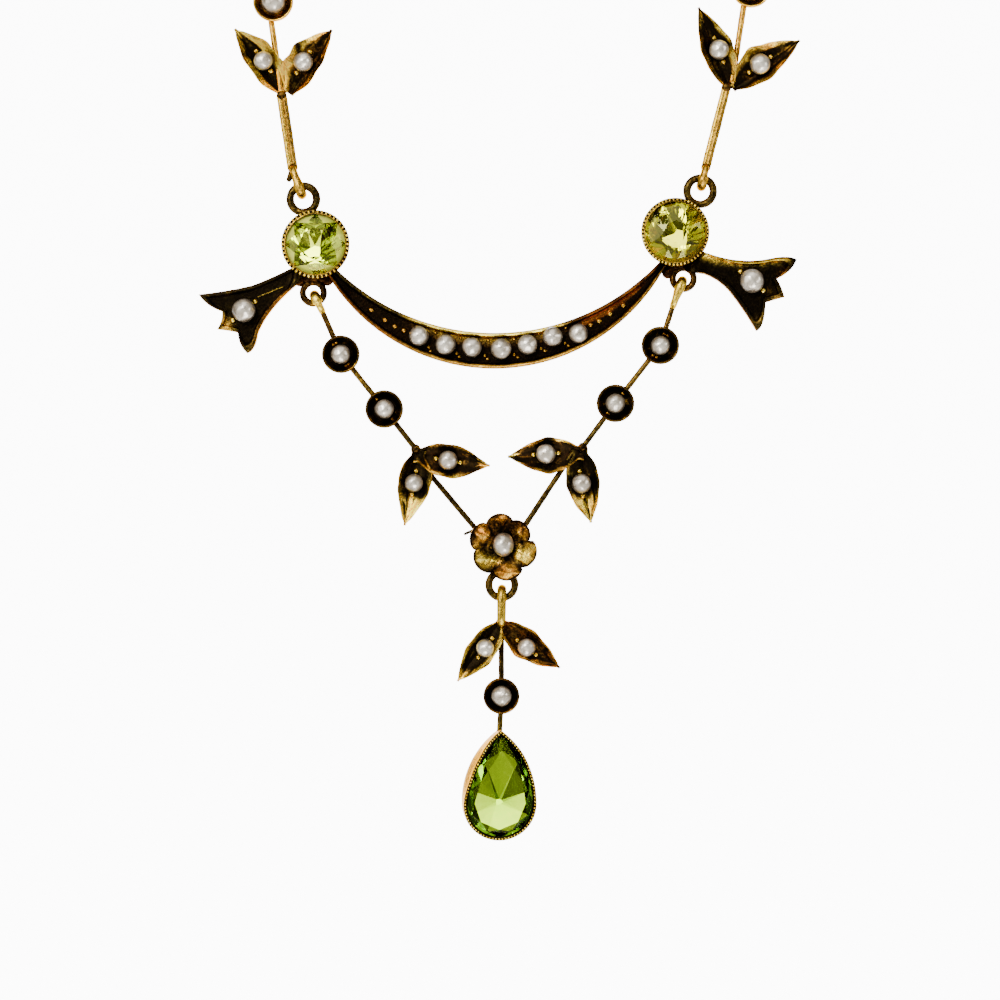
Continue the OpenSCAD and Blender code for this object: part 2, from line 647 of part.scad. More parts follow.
module clasp() {
    h = clasp_l / 2;
    r = clasp_d / 2;
    color(GOLD) {
        rotate([0, 90, 0]) rotate_extrude() polygon([
            [0, -h], [r * 0.55, -h], [r, -h + 0.7], [r, -0.3], [r - 0.15, -0.2], [r - 0.15, 0.2],
            [r, 0.3], [r, h - 0.7], [r * 0.55, h], [0, h]
        ]);
        for (side = [-1, 1])
            translate([side * (h + CLASP_RING_REACH), 0, 0]) rotate([side * ROLL, 0, 0])
                ring(CLASP_RING);
    }
}

module pearls(name, rows, floors) {
    for (i = [0 : len(rows) - 1])
        color(PEARL) front() pearl(rows[i], floors[i]);
}

module round_peridot(p, table_d) {
    color(PERIDOT) front() facing(p)
        cut_stone(round_outline(table_d / 2, 8), round_outline(round_stone_d / 2, 16));
}

module pear_peridot() {
    color(PERIDOT) front() facing(PEAR_AT)
        cut_stone([for (p = pear_outline(0.3, 8)) 0.55 * p], pear_outline(0.28, 16));
}

swag_frame();
garland_frame();
drop_frame();
side_link(TOP_RING_LEFT, SIDE_LEFT, LEAVES_SIDE_LEFT, PEARLS_SIDE_LEFT, 0.4);  // side_link_left
side_link(TOP_RING_RIGHT, SIDE_RIGHT, LEAVES_SIDE_RIGHT, PEARLS_SIDE_RIGHT, 0.3);  // side_link_right
chain(false, SIDE_LEFT, PEARLS_SIDE_LEFT);  // chain_left
chain(true, SIDE_RIGHT, PEARLS_SIDE_RIGHT);  // chain_right
clasp();
round_peridot(COLLET_LEFT, left_table_d);  // round_peridot_left
round_peridot(COLLET_RIGHT, right_table_d);  // round_peridot_right
pear_peridot();
color(PEARL) front() pearl(PEARL_FLOWER, FLOWER_FLOOR);  // pearl_flower
pearls("pearl_swag_", PEARLS_SWAG, [for (row = PEARLS_SWAG) BAR_FLOOR - PEARL_CUT]);
color(PEARL) front() pearl(PEARLS_TAIL[0], TAIL_FLOOR - PEARL_CUT);  // pearl_tail_left
color(PEARL) front() pearl(PEARLS_TAIL[1], TAIL_FLOOR - PEARL_CUT);  // pearl_tail_right
pearls("pearl_side_left_", PEARLS_SIDE_LEFT, [LEAF_FLOOR, LEAF_FLOOR, CUP_FLOOR]);
pearls("pearl_side_right_", PEARLS_SIDE_RIGHT, [LEAF_FLOOR, LEAF_FLOOR, CUP_FLOOR]);
pearls("pearl_arm_left_", PEARLS_ARM_LEFT, [CUP_FLOOR, CUP_FLOOR, LEAF_FLOOR, LEAF_FLOOR]);
pearls("pearl_arm_right_", PEARLS_ARM_RIGHT, [CUP_FLOOR, CUP_FLOOR, LEAF_FLOOR, LEAF_FLOOR]);
pearls("pearl_drop_", PEARLS_DROP, [LEAF_FLOOR, LEAF_FLOOR, CUP_FLOOR]);
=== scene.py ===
"""Looks of the festoon necklace: oxidised gold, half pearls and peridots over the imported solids.

Shapes are drawn in millimetres in the ornament's own axes: right, up and forward. Build.piece()
moves them to their place below the nape.
"""

import math

import bmesh
import bpy
import numpy as np
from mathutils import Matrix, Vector, noise


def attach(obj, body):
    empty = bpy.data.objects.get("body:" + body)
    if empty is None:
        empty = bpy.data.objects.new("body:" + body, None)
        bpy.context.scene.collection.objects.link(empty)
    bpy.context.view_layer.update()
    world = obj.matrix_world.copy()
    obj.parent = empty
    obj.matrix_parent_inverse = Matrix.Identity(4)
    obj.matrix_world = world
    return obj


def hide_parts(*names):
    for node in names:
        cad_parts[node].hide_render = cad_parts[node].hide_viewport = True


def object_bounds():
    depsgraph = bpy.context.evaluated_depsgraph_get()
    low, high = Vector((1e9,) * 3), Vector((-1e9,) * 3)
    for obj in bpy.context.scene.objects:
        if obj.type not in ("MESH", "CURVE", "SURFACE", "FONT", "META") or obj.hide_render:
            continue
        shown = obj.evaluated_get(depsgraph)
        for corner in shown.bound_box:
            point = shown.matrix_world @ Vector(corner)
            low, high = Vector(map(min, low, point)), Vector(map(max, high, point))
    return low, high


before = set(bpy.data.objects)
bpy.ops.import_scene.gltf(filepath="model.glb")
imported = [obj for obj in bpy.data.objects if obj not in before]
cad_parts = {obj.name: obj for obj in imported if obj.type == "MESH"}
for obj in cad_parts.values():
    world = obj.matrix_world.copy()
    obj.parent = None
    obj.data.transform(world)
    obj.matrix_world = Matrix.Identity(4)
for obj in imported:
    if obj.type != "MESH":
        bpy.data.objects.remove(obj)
first_bounds = [list(corner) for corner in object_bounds()]

MM = 0.001
PIXEL = 0.09
PHOTO_MIDDLE = 500
FORWARD = np.array([0.0, 0.0, 1.0])
FULL = 2 * math.pi

# The drawing's plane lies REACH before the nape, its middle FALL below it. Wires lie at WIRE_F.
REACH = 112.0
FALL = 113.1
WIRE_F = -0.3

# How far a surface wavers, in millimetres, and how near two points count as one, in metres.
RIPPLE = 0.012
FINE_RIPPLE = 0.006
PEARL_RIPPLE = 0.05
WELD = 2e-8

# A wire's steps, and the angles of its rounded ends in degrees.
WIRE_STEP = 0.22
END_BEND = [86, 60, 30]

# The same ripple in each run.
noise.seed_set(7)


# Vectors and curves


def unit(v):
    v = np.asarray(v, float)
    return v / np.linalg.norm(v)


def towards(a, b):
    """The direction from one point to another."""
    return unit(np.subtract(b, a))


def left_of(way):
    return np.array([-way[1], way[0]])


def smooth(low, high, x):
    """0 up to low, 1 from high on, and a soft step between them."""
    t = np.clip((np.asarray(x, float) - low) / (high - low), 0, 1)
    return t * t * (3 - 2 * t)


def full_turn(steps):
    return np.linspace(0, FULL, steps, endpoint=False)


def path_run(path):
    """How far along a path each of its points lies."""
    return np.concatenate([[0], np.cumsum(np.linalg.norm(np.diff(path, axis=0), axis=1))])


def evenly(path, count):
    """count + 1 points at even steps along a path."""
    run = path_run(path)
    steps = np.arange(count + 1) * run[-1] / count
    return np.stack([np.interp(steps, run, row) for row in path.T], -1)


def wobble(p, scale=1.0):
    """Smooth noise at a point, from about -1 to 1."""
    return noise.noise(Vector(p) * scale)


def wobbles(path, scale):
    return np.array([wobble(p, scale) for p in path])


def spot(px, py):
    """A point of the photograph as right and up in the drawing."""
    return (px - PHOTO_MIDDLE) * PIXEL, (PHOTO_MIDDLE - py) * PIXEL


def pixel(x, y):
    """A point of the drawing in the photograph's pixels."""
    return x / PIXEL + PHOTO_MIDDLE, PHOTO_MIDDLE - y / PIXEL


def at(p, f=WIRE_F):
    """A point of the drawing's plane at a depth."""
    return np.array([p[0], p[1], f], float)


def drawn(world):
    """World millimetres as right, up and forward."""
    world = np.asarray(world, float)
    return np.stack([world[..., 0], world[..., 2] + FALL, -REACH - world[..., 1]], -1)


def path_frame(path, up, closed):
    """At each point of a path: its direction, its side and its own up."""
    if closed:
        tangent = np.roll(path, -1, 0) - np.roll(path, 1, 0)
    else:
        tangent = np.gradient(path, axis=0)
    tangent = tangent / np.linalg.norm(tangent, axis=1)[:, None]
    side = np.cross(tangent, np.broadcast_to(np.asarray(up, float), path.shape))
    side = side / np.linalg.norm(side, axis=1)[:, None]
    return tangent, side, np.cross(side, tangent)


def show(name, data):
    """An object of the scene, with its mesh, lamp or camera."""
    made = bpy.data.objects.new(name, data)
    bpy.context.scene.collection.objects.link(made)
    return made


class Build:
    """Gathers the points, faces and finish of one piece in right, up and forward.

    Finish is two numbers at each point: bright runs from black oxide to polished gold and also
    carries painted highlights and painted shade, and copper runs from yellow gold to copper red."""

    def __init__(self):
        self.points = []
        self.faces = []
        self.finish = []
        self.count = 0

    def add(self, points, faces, bright=0.5, copper=0.0):
        points = np.asarray(points, float).reshape(-1, 3)
        tone = np.empty((len(points), 2))
        tone[:, 0] = np.ravel(bright)
        tone[:, 1] = np.ravel(copper)
        self.points.append(points)
        self.finish.append(tone)
        self.faces += [[i + self.count for i in face] for face in faces]
        self.count += len(points)

    def grid(self, points, around=False, along=False, bright=0.5, copper=0.0, ends=False):
        """A surface over rows of points. around closes each row, along closes the rows, ends caps
        them. A list of finishes has one for each row."""
        rows, cols = points.shape[:2]
        index = np.arange(rows * cols).reshape(rows, cols)
        wide = np.hstack([index, index[:, :1]]) if around else index
        wide = np.vstack([wide, wide[:1]]) if along else wide
        quads = np.stack([wide[:-1, :-1], wide[1:, :-1], wide[1:, 1:], wide[:-1, 1:]], -1)
        faces = quads.reshape(-1, 4).tolist()
        if ends:
            faces += [index[0].tolist(), index[-1].tolist()]
        levels = [np.reshape(v, (-1, 1)) if np.ndim(v) == 1 else v for v in (bright, copper)]
        self.add(points, faces, *(np.broadcast_to(v, (rows, cols)) for v in levels))

    def tube(self, path, radius, up=FORWARD, closed=False, sides=14, bright=0.6, copper=0.0):
        path = np.asarray(path, float)
        levels = (radius, bright, copper)
        radius, bright, copper = (np.array(np.broadcast_to(v, len(path)), float) for v in levels)
        tangent, side, top = path_frame(path, up, closed)
        if not closed:
            bend = np.radians(END_BEND)
            head = path[0] - tangent[0] * radius[0] * np.sin(bend)[:, None]
            tail = path[-1] + tangent[-1] * radius[-1] * np.sin(bend[::-1])[:, None]
            path = np.vstack([head, path, tail])
            radius = np.concatenate([radius[0] * np.cos(bend), radius, radius[-1] * np.cos(bend[::-1])])
            side, top = (np.pad(v, ((3, 3), (0, 0)), "edge") for v in (side, top))
            bright, copper = (np.pad(v, 3, "edge") for v in (bright, copper))
        turn = full_turn(sides)
        ring = np.cos(turn)[None, :, None] * side[:, None] + np.sin(turn)[None, :, None] * top[:, None]
        points = path[:, None] + radius[:, None, None] * ring
        self.grid(points, True, closed, bright, copper, ends=not closed)

    def wire(self, a, b, radius, start=0.0, stop=0.0, **finish):
        """A drawn wire between two points, stopped short of them, its thickness a little uneven.
        Points without a depth lie at the wires' depth."""
        a, b = (at(p) if len(p) == 2 else p for p in (a, b))
        way = towards(a, b)
        a, b = a + way * start, b - way * stop
        steps = max(4, int(np.linalg.norm(b - a) / WIRE_STEP))
        share = np.linspace(0, 1, steps)[:, None]
        path = a * (1 - share) + b * share
        self.tube(path, radius * (1 + 0.07 * wobbles(path, 1.7)), **finish)

    def ring(self, centre, outer, wire, **finish):
        turn = full_turn(64)
        path = centre + (outer - wire) / 2 * np.stack([np.cos(turn), np.sin(turn), 0 * turn], -1)
        self.tube(path, wire / 2 * (1 + 0.06 * wobbles(path, 1.3)), closed=True, sides=18, **finish)

    def eye(self, a, b, bend, radius, taper, **finish):
        """A long eye seen edge-on, bent round the wire at a and ending at b. taper is the share of
        its thickness that it loses on the way."""
        a, b = at(a), at(b)
        way = towards(a, b)
        straight = np.linalg.norm(b - a) - bend
        half = np.linspace(-math.pi / 2, math.pi / 2, 14)
        far = [a + way * (straight + bend * math.cos(t)) + FORWARD * bend * math.sin(t) for t in half]
        near = [a - way * bend * math.cos(t) - FORWARD * bend * math.sin(t) for t in half]
        between = (0.2, 0.4, 0.6, 0.8)
        up_run = [far[-1] + (near[0] - far[-1]) * s for s in between]
        down_run = [near[-1] + (far[0] - near[-1]) * s for s in between]
        path = np.array(far + up_run + near + down_run)
        share = np.clip((path - a) @ way / straight, 0, 1)
        radius = radius * (1 - taper * share)
        self.tube(path, radius, up=np.cross(way, FORWARD), closed=True, sides=16, **finish)

    def lathe(self, centre, profile, steps, bright=0.5, copper=0.0, stretch=(1, 1)):
        """A profile of (radius, forward) points turned about the forward axis."""
        profile = np.asarray(profile, float)
        turn = full_turn(steps)
        x = profile[:, :1] * np.cos(turn) * stretch[0]
        y = profile[:, :1] * np.sin(turn) * stretch[1]
        z = np.repeat(profile[:, 1:], steps, 1)
        self.grid(np.stack([x, y, z], -1) + centre, True, False, bright, copper)

    def solder(self, p, size, bright=0.3, copper=0.3, f=WIRE_F):
        """A soft lump of solder where wires meet."""
        turn = np.linspace(0, math.pi, 9)
        across = np.sin(turn) ** 0.75 * 0.48 * size
        deep = np.cos(turn) * 0.45 * size
        self.lathe(at(p, f), np.stack([across, deep], -1), 20, bright, copper)

    def shell(self, centre, outline, rows, bright=0.5, copper=0.0):
        """A wall over an outline that is drawn in by each row's first number, at its second."""
        layers = []
        for inset, f in rows:
            flat = outline(inset)
            layers.append(np.column_stack([flat, np.full(len(flat), f)]) + centre)
        self.grid(np.array(layers), True, True, bright, copper)

    def since(self, first):
        """The points and finish added since the count was first."""
        start = 0
        for points, tone in zip(self.points, self.finish):
            if start >= first:
                yield points, tone
            start += len(points)

    def patch(self, first, spots):
        """Tarnish, rubbed places and painted highlights on the points added since first: (x, y, radius,
        bright, copper) in the photograph's pixels. The two last numbers are added at the spot's middle."""
        for points, tone in self.since(first):
            for px, py, radius, bright, copper in spots:
                x, y = spot(px, py)
                far = ((points[:, 0] - x) ** 2 + (points[:, 1] - y) ** 2) / (radius * PIXEL) ** 2
                tone += np.exp(-far)[:, None] * (bright, copper)

    def piece(self, name, material, body, nodes, ripple=RIPPLE, sharp=38, weld=True):
        """The gathered mesh as one object on a body, in place of its nodes. ripple is how far its
        surface wavers, sharp the angle in degrees from which an edge is not smoothed."""
        points = np.vstack(self.points)
        tone = np.clip(np.vstack(self.finish), 0, 1)
        if ripple:
            moves = [noise.noise_vector(Vector(p) * 1.4) * 0.65 + noise.noise_vector(Vector(p) * 4.2) * 0.35
                     for p in points]
            points = points + ripple * np.array(moves)
        world = np.stack([points[:, 0], -REACH - points[:, 2], points[:, 1] - FALL], -1) * MM
        world = np.clip(world, *first_bounds)
        mesh = bpy.data.meshes.new(name)
        mesh.from_pydata(world.tolist(), [], self.faces)
        for key, values in (("bright", tone[:, 0]), ("copper", tone[:, 1])):
            layer = mesh.attributes.new(key, "FLOAT", "POINT")
            layer.data.foreach_set("value", values.astype(np.float32))
        work = bmesh.new()
        work.from_mesh(mesh)
        if weld:
            bmesh.ops.remove_doubles(work, verts=work.verts, dist=WELD)
        bmesh.ops.recalc_face_normals(work, faces=work.faces)
        work.to_mesh(mesh)
        work.free()
        mesh.polygons.foreach_set("use_smooth", [True] * len(mesh.polygons))
        mesh.set_sharp_from_angle(angle=math.radians(sharp))
        mesh.materials.append(material)
        shown = show(name, mesh)
        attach(shown, body)
        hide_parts(*nodes)
        return shown


# Materials


class Shader:
    """A material's nodes, with texture positions in millimetres."""

    def __init__(self, name):
        self.material = bpy.data.materials.new(name)
        self.material.use_nodes = True
        self.tree = self.material.node_tree
        self.main = self.tree.nodes["Principled BSDF"]
        place = self.node("TexCoord").outputs["Object"]
        to_mm = {0: place, 1: (1 / MM, 1 / MM, 1 / MM)}
        self.place = self.node("VectorMath", to_mm, operation="MULTIPLY").outputs[0]

    def node(self, kind, values=None, **settings):
        made = self.tree.nodes.new("ShaderNode" + kind)
        for key, value in settings.items():
            setattr(made, key, value)
        for key, value in (values or {}).items():
            self.put(made.inputs[key], value)
        return made

    def put(self, socket, value):
        if isinstance(value, bpy.types.NodeSocket):
            self.tree.links.new(value, socket)
        else:
            socket.default_value = value

    def noise(self, scale, detail=3.0, shift=0.0):
        place = self.place
        if shift:
            place = self.node("VectorMath", {0: place, 1: (shift, shift, shift)}).outputs[0]
        made = self.node("TexNoise", {"Vector": place, "Scale": scale, "Detail": detail})
        return made.outputs["Fac"]

    def level(self, name):
        return self.node("Attribute", attribute_name=name).outputs["Fac"]

    def math(self, kind, a, b=0.0, clamp=False):
        return self.node("Math", {0: a, 1: b}, operation=kind, use_clamp=clamp).outputs[0]

    def add(self, a, b, clamp=False):
        return self.math("ADD", a, b, clamp)

    def times(self, a, b):
        return self.math("MULTIPLY", a, b)

    def around(self, x, amount):
        """A noise about its middle, times an amount."""
        return self.times(self.math("SUBTRACT", x, 0.5), amount)

    def span(self, x, low, high, to_low, to_high):
        values = {"Value": x, "From Min": low, "From Max": high, "To Min": to_low, "To Max": to_high}
        return self.node("MapRange", values).outputs["Result"]

    def ramp(self, x, stops):
        made = self.node("ValToRGB", {"Fac": x})
        marks = made.color_ramp.elements
        while len(marks) < len(stops):
            marks.new(0.5)
        for mark, (place, color) in zip(marks, stops):
            mark.position = place
            mark.color = (*color, 1)
        return made.outputs["Color"]

    def mix(self, share, a, b):
        made = self.node("Mix", data_type="RGBA")
        self.put(made.inputs["Factor"], share)
        self.put(made.inputs[6], a)
        self.put(made.inputs[7], b)
        return made.outputs[2]

    def bump(self, height, depth, strength=1.0):
        values = {"Height": height, "Distance": depth * MM, "Strength": strength}
        return self.node("Bump", values).outputs["Normal"]

    def finish(self, values):
        """Sets the surface's own inputs, each to a value or a node's output."""
        for key, value in values.items():
            self.put(self.main.inputs[key], value)
        return self.material


YELLOW = [(0.0, (0.002, 0.0015, 0.001)), (0.2, (0.01, 0.007, 0.002)), (0.4, (0.1, 0.066, 0.012)),
          (0.62, (0.43, 0.27, 0.025)), (0.82, (0.87, 0.6, 0.05)), (1.0, (0.96, 0.8, 0.15))]
COPPER = [(0.0, (0.003, 0.0015, 0.001)), (0.2, (0.018, 0.005, 0.002)), (0.4, (0.17, 0.048, 0.008)),
          (0.62, (0.5, 0.15, 0.018)), (0.82, (0.9, 0.36, 0.035)), (1.0, (1.0, 0.56, 0.1))]
CREAM = [(0.08, (0.05, 0.034, 0.018)), (0.35, (0.22, 0.17, 0.11)), (0.6, (0.48, 0.4, 0.29)),
         (0.9, (0.8, 0.73, 0.6))]
# The colour of a facet with painted shade.
PAINTED_SHADE_FACET = (0.00004, 0.00009, 0.00001, 1)
FOG_DENSITY = 900.0


def gold(name, lift=0.0, grain=0.7, gloss=0.0):
    """Old gold: black-brown oxide in the recesses, yellow or coppery where it is rubbed, and the painted
    highlights and shade of the bright level.
    """
    s = Shader(name)
    broad, middle, fine = s.noise(0.8, 4), s.noise(5.0, 4), s.noise(26.0, 3)
    edge = s.node("NewGeometry").outputs["Pointiness"]
    wear_and_highlight = s.add(s.level("bright"), lift)
    for uneven, amount in ((broad, 0.45), (middle, grain), (fine, 0.2)):
        wear_and_highlight = s.add(wear_and_highlight, s.around(uneven, amount))
    wear_and_highlight = s.add(wear_and_highlight, s.around(edge, 0.6), clamp=True)
    red = s.add(s.level("copper"), s.around(s.noise(1.1, 3, 40.0), 0.5), clamp=True)
    rough = s.add(s.span(wear_and_highlight, 0.0, 1.0, 0.32 - gloss, 0.2 - gloss), s.around(fine, 0.16))
    height = s.add(s.times(middle, 0.7), s.times(fine, 0.3))
    return s.finish({
        "Base Color": s.mix(red, s.ramp(wear_and_highlight, YELLOW), s.ramp(wear_and_highlight, COPPER)),
        "Metallic": s.span(wear_and_highlight, 0.0, 0.5, 0.88, 1.0),
        "Specular Tint": (0.85, 0.5, 0.14, 1),
        "Roughness": s.add(rough, s.around(middle, 0.12)),
        "Normal": s.bump(height, 0.07, 0.7),
    })


def pearl_finish(name):
    """Crinkled lustre over a cream body, with painted shade that darkens it towards the seat."""
    s = Shader(name)
    broad, fine = s.noise(0.9, 1), s.noise(2.4, 2)
    body = s.add(s.level("bright"), s.around(broad, 0.8))
    body = s.add(body, s.around(fine, 0.35), clamp=True)
    uneven = s.bump(s.noise(0.9, 1), 0.22)
    return s.finish({
        "Base Color": s.ramp(body, CREAM),
        "Metallic": s.span(body, 0.2, 0.8, 0.3, 0.6),
        "Roughness": s.span(fine, 0.3, 0.7, 0.24, 0.38),
        "Coat Weight": 1.0,
        "Coat IOR": 2.0,
        "Coat Roughness": 0.18,
        "Normal": uneven,
        "Coat Normal": uneven,
    })


def stone_finish(name, pale, deep, dark, index=1.67, clear=1.0):
    """A clear stone: refracting, with a little uneven colour. The facet level paints shade: a low
    level darkens the facet's colour towards black. clear is the share of light let through, the
    rest is scattered."""
    s = Shader(name)
    tint = s.ramp(s.noise(0.7, 2), [(0.35, deep), (0.6, pale)])
    seen = s.math("POWER", s.level("facet"), 2.5)
    fog = s.node("VolumeAbsorption", {"Color": (*dark, 1), "Density": FOG_DENSITY})
    s.put(s.tree.nodes["Material Output"].inputs["Volume"], fog.outputs[0])
    return s.finish({
        "Base Color": s.mix(seen, PAINTED_SHADE_FACET, tint),
        "Roughness": s.span(s.noise(6.0, 2), 0.4, 0.75, 0.0, 0.03),
        "IOR": index,
        "Specular Tint": (pale[0], pale[1], pale[2] * 0.8, 1),
        "Transmission Weight": clear,
        "Normal": s.bump(s.noise(14.0, 2), 0.004, 0.25),
    })


METAL = gold("oxidised gold", lift=-0.1)
CHAIN_METAL = gold("chain gold", gloss=0.05, grain=0.3)
PEARL = pearl_finish("half pearl")
PALE_FOG = (0.94, 0.97, 0.36)
PALE_GREEN = stone_finish("pale peridot", (0.9, 0.95, 0.24), (0.78, 0.88, 0.14), PALE_FOG)
PALE_EDGE = stone_finish("pale peridot edge", (0.95, 0.98, 0.14), (0.8, 0.9, 0.06), PALE_FOG, clear=0.4)
GREEN = stone_finish("peridot", (0.34, 0.46, 0.03), (0.28, 0.4, 0.02), (0.86, 0.94, 0.1), index=1.52)
OLIVE = stone_finish("olive peridot", (1.0, 0.98, 0.36), (0.9, 0.84, 0.22), (0.9, 0.9, 0.12))


# Pearls, grains, cups and leaves

SEAT = 0.04
LEAF_FLOOR = -0.2
CUP_FLOOR = 0.0
BAR_FLOOR = 0.15
TAIL_FLOOR = 0.3
GRAIN = 0.5
SMALL_GRAIN = 0.34
PEARL_SHARE = 0.95
PEARL_CUT = 0.6

CUP_DEPTH = 0.6
CUP_RIM = 0.75
CUP_TONES = [0.2, 0.2, 0.2, 0.25, 0.28, 0.3, 0.34, 0.36, 0.34, 0.3, 0.2, 0.06, 0.02, 0.02]
CUP_GLINTS = 5

LEAF_ROWS = 34
TIP_ROWS = 9
LEAF_COLS = 19
LEAF_SHEET = 0.3
LEAF_CUPPING = 0.85


def half_pearl(build, row, floor, stretch=(1, 1)):
    """A pearl with a flat back, a gap before its floor. It is cut PEARL_CUT of its radius below
    its middle."""
    r = row[2] / 2 * PEARL_SHARE
    turn = np.linspace(math.pi / 2, -math.asin(PEARL_CUT), 18)
    profile = [(r * math.cos(t), r * math.sin(t)) for t in turn]
    profile += [(0.7 * r, -PEARL_CUT * r), (0.0, -PEARL_CUT * r)]
    # Painted shade: the tones darken from the pearl's front towards its edge at the seat.
    tones = [0.08 + 0.74 * max(0, math.sin(t)) ** 1.3 for t in turn] + [0.08, 0.08]
    build.lathe((row[0], row[1], floor + SEAT + PEARL_CUT * r), profile, 36, tones, stretch=stretch)


def numbered(stem, count):
    return [f"{stem}_{i}" for i in range(1, count + 1)]


def pearls(name, rows, body, nodes, floors, stretch=(1, 1)):
    """Half pearls as one piece. A row is a place and a width."""
    build = Build()
    for row, floor in zip(rows, floors):
        half_pearl(build, row, floor, stretch)
    build.piece(name, PEARL, body, nodes, ripple=PEARL_RIPPLE, sharp=50)


def grain(build, p, floor, size=GRAIN, **finish):
    """A ball of gold, half sunk in its floor."""
    turn = np.linspace(0, math.pi, 7)
    build.lathe(at(p, floor), np.stack([np.sin(turn), np.cos(turn)], -1) * size / 2, 12, **finish)


def grain_pair(build, row, along, floor, **finish):
    """A grain at either side of a pearl, along a direction."""
    along = unit(along)
    reach = row[2] / 2 + GRAIN * 0.36
    for side in (-1, 1):
        grain(build, np.array(row[:2]) + side * reach * along, floor, **finish)


def cup(build, p, size, bright=0.0, copper=0.25):
    """A dish with a rounded rim, a deep floor and a few painted glints round its wall."""
    r = size / 2
    profile = [(0, -CUP_DEPTH), (r * 0.55, -CUP_DEPTH), (r * 0.64, -CUP_DEPTH + 0.03), (r - 0.04, 0.08),
               (r, 0.17), (r, CUP_RIM - 0.11), (r - 0.03, CUP_RIM - 0.04), (r - 0.1, CUP_RIM),
               (r - 0.16, CUP_RIM - 0.02), (r - 0.21, CUP_RIM - 0.09), (r - 0.5, 0.1), (r - 0.58, 0.03),
               (r - 0.7, CUP_FLOOR), (0, CUP_FLOOR)]
    first = build.count
    build.lathe(at(p, 0), profile, 56, np.array(CUP_TONES) + bright, copper)
    px, py = pixel(*p)
    spots = []
    for k in range(CUP_GLINTS):
        turn = 1.26 * k + 2.5 * wobble((px * 0.1, py * 0.1, k))
        share, warm = (0.8, 0.3) if k % 2 else (0.66, 0.0)
        reach = share * r / PIXEL
        spots.append((px + reach * math.cos(turn), py + reach * math.sin(turn), 2.6, 0.42, warm))
    build.patch(first, spots)


def ridge(x, y, z):
    """Thin crumpled lines, 1 on a line and falling to 0 beside it."""
    return max(0.0, 1 - 5 * abs(wobble((x, y, z))))


def leaf_width(t):
    return np.maximum(0.1, np.sin(np.pi * t ** 0.8) ** 0.9)


def leaf(build, row, rim=0.72, tip=0.2, copper=0.15, trough=0.12, base_width=0.5, tip_from=0.72,
         band=0.74):
    """A cupped leaf that swells from its base and ends in a curled tip.

    row is its base, its end, its widths to the left and right, and its tip's rise. rim, tip and
    trough are finishes, and the rim's finish starts at band of the way to the leaf's edge. The tip's
    finish is a painted highlight."""
    base, end = np.array(row[0:2]), np.array(row[2:4])
    left = left_of(towards(base, end))
    rows = np.concatenate([np.linspace(0, 0.9, LEAF_ROWS), np.linspace(0.915, 0.999, TIP_ROWS)])
    swell = leaf_width(rows)
    swell[rows > 0.9] *= np.linspace(1, 0.75, TIP_ROWS)
    swell = np.maximum(swell, base_width * (1 - rows / 0.4))
    swell *= [1 + 0.14 * wobble((k * 6, row[0], row[3])) for k in rows]
    front = np.linspace(-1, 1, LEAF_COLS)
    around = np.concatenate([front, [1.03], front[::-1], [-1.03]])
    back = np.concatenate([np.zeros(LEAF_COLS), [0.5], np.ones(LEAF_COLS), [0.5]])
    t, swell = rows[:, None], swell[:, None]

    def field(value):
        return np.array([[value(k, a) for a in around] for k in rows])

    streak = field(lambda k, a: wobble((k * 3.2 + row[0], a * 4.5, row[1])))
    fold = field(lambda k, a: wobble((k * 5 + row[2], a * 1.6, row[3])))
    crease_glint = field(lambda k, a: ridge(k * 4 + row[0], a * 2.2, row[1]))
    shadow = field(lambda k, a: ridge(k * 3 + row[3], a * 1.8, row[0] + 5))
    half = around * np.where(around < 0, row[5], row[4]) * swell
    lift = LEAF_CUPPING * np.minimum(np.abs(around), 1) ** 1.7
    vein = np.exp(-((around / 0.07) ** 2)) * (1 - back)
    outward = np.abs(around) ** 0.7
    high = row[6] * t ** 3 + WIRE_F + swell * lift - back * LEAF_SHEET
    high = high - 0.05 * vein * swell + (0.09 * fold + 0.06 * crease_glint) * outward
    flat = (base + (end - base) * t)[:, None] + left * half[..., None]
    points = np.concatenate([flat, high[..., None]], -1)
    edge = smooth(band, band + 0.17, np.abs(around))
    bright = trough + (rim - trough) * edge * (0.85 + 0.5 * fold)
    # Painted highlights: the lighter tip, the streaks and the crease lines. Painted shade: the shadow lines.
    bright = bright + tip * smooth(tip_from, tip_from + 0.22, t) * (1 + 0.6 * streak)
    bright = bright + 0.42 * np.maximum(streak, 0) * smooth(0.15, 0.4, t)
    bright = bright + 0.4 * crease_glint * (edge + smooth(tip_from, 1, t) + 0.35)
    bright = bright - 0.55 * shadow * smooth(0.3, 0.6, t)
    bright = np.where(back > 0.6, 0.3, bright)
    build.grid(points, True, False, bright, copper + 0.5 * fold, ends=True)


def leaf_pair(build, rows, seeds, looks):
    """Two leaves, each with a post under its pearl and a grain at either end of it."""
    for row, pearl, look in zip(rows, seeds, looks):
        leaf(build, row, **look)
        r = pearl[2] / 2 * 0.72
        post = [(0, -0.54), (r, -0.54), (r, LEAF_FLOOR), (0, LEAF_FLOOR)]
        build.lathe(at(pearl, 0), post, 28, 0.1, 0.1)
        along = (row[2] - row[0], row[3] - row[1])
        grain_pair(build, pearl, along, LEAF_FLOOR + 0.1, bright=0.75, copper=0.15)


# The swag

COLLET_R = 3.06
COLLETS = [(-16.56, 22.95), (15.73, 24.05)]
TOP_RINGS = [(-17.71, 27.1), (18.03, 27.81)]
LOW_RINGS = [(-16.81, 18.66), (16.5, 19.95)]

# A ring's width and its wire's width.
TOP_RING = (3.08, 0.7)
LOW_RING = (2.5, 0.6)
FLOWER_RING = (3.0, 0.66)

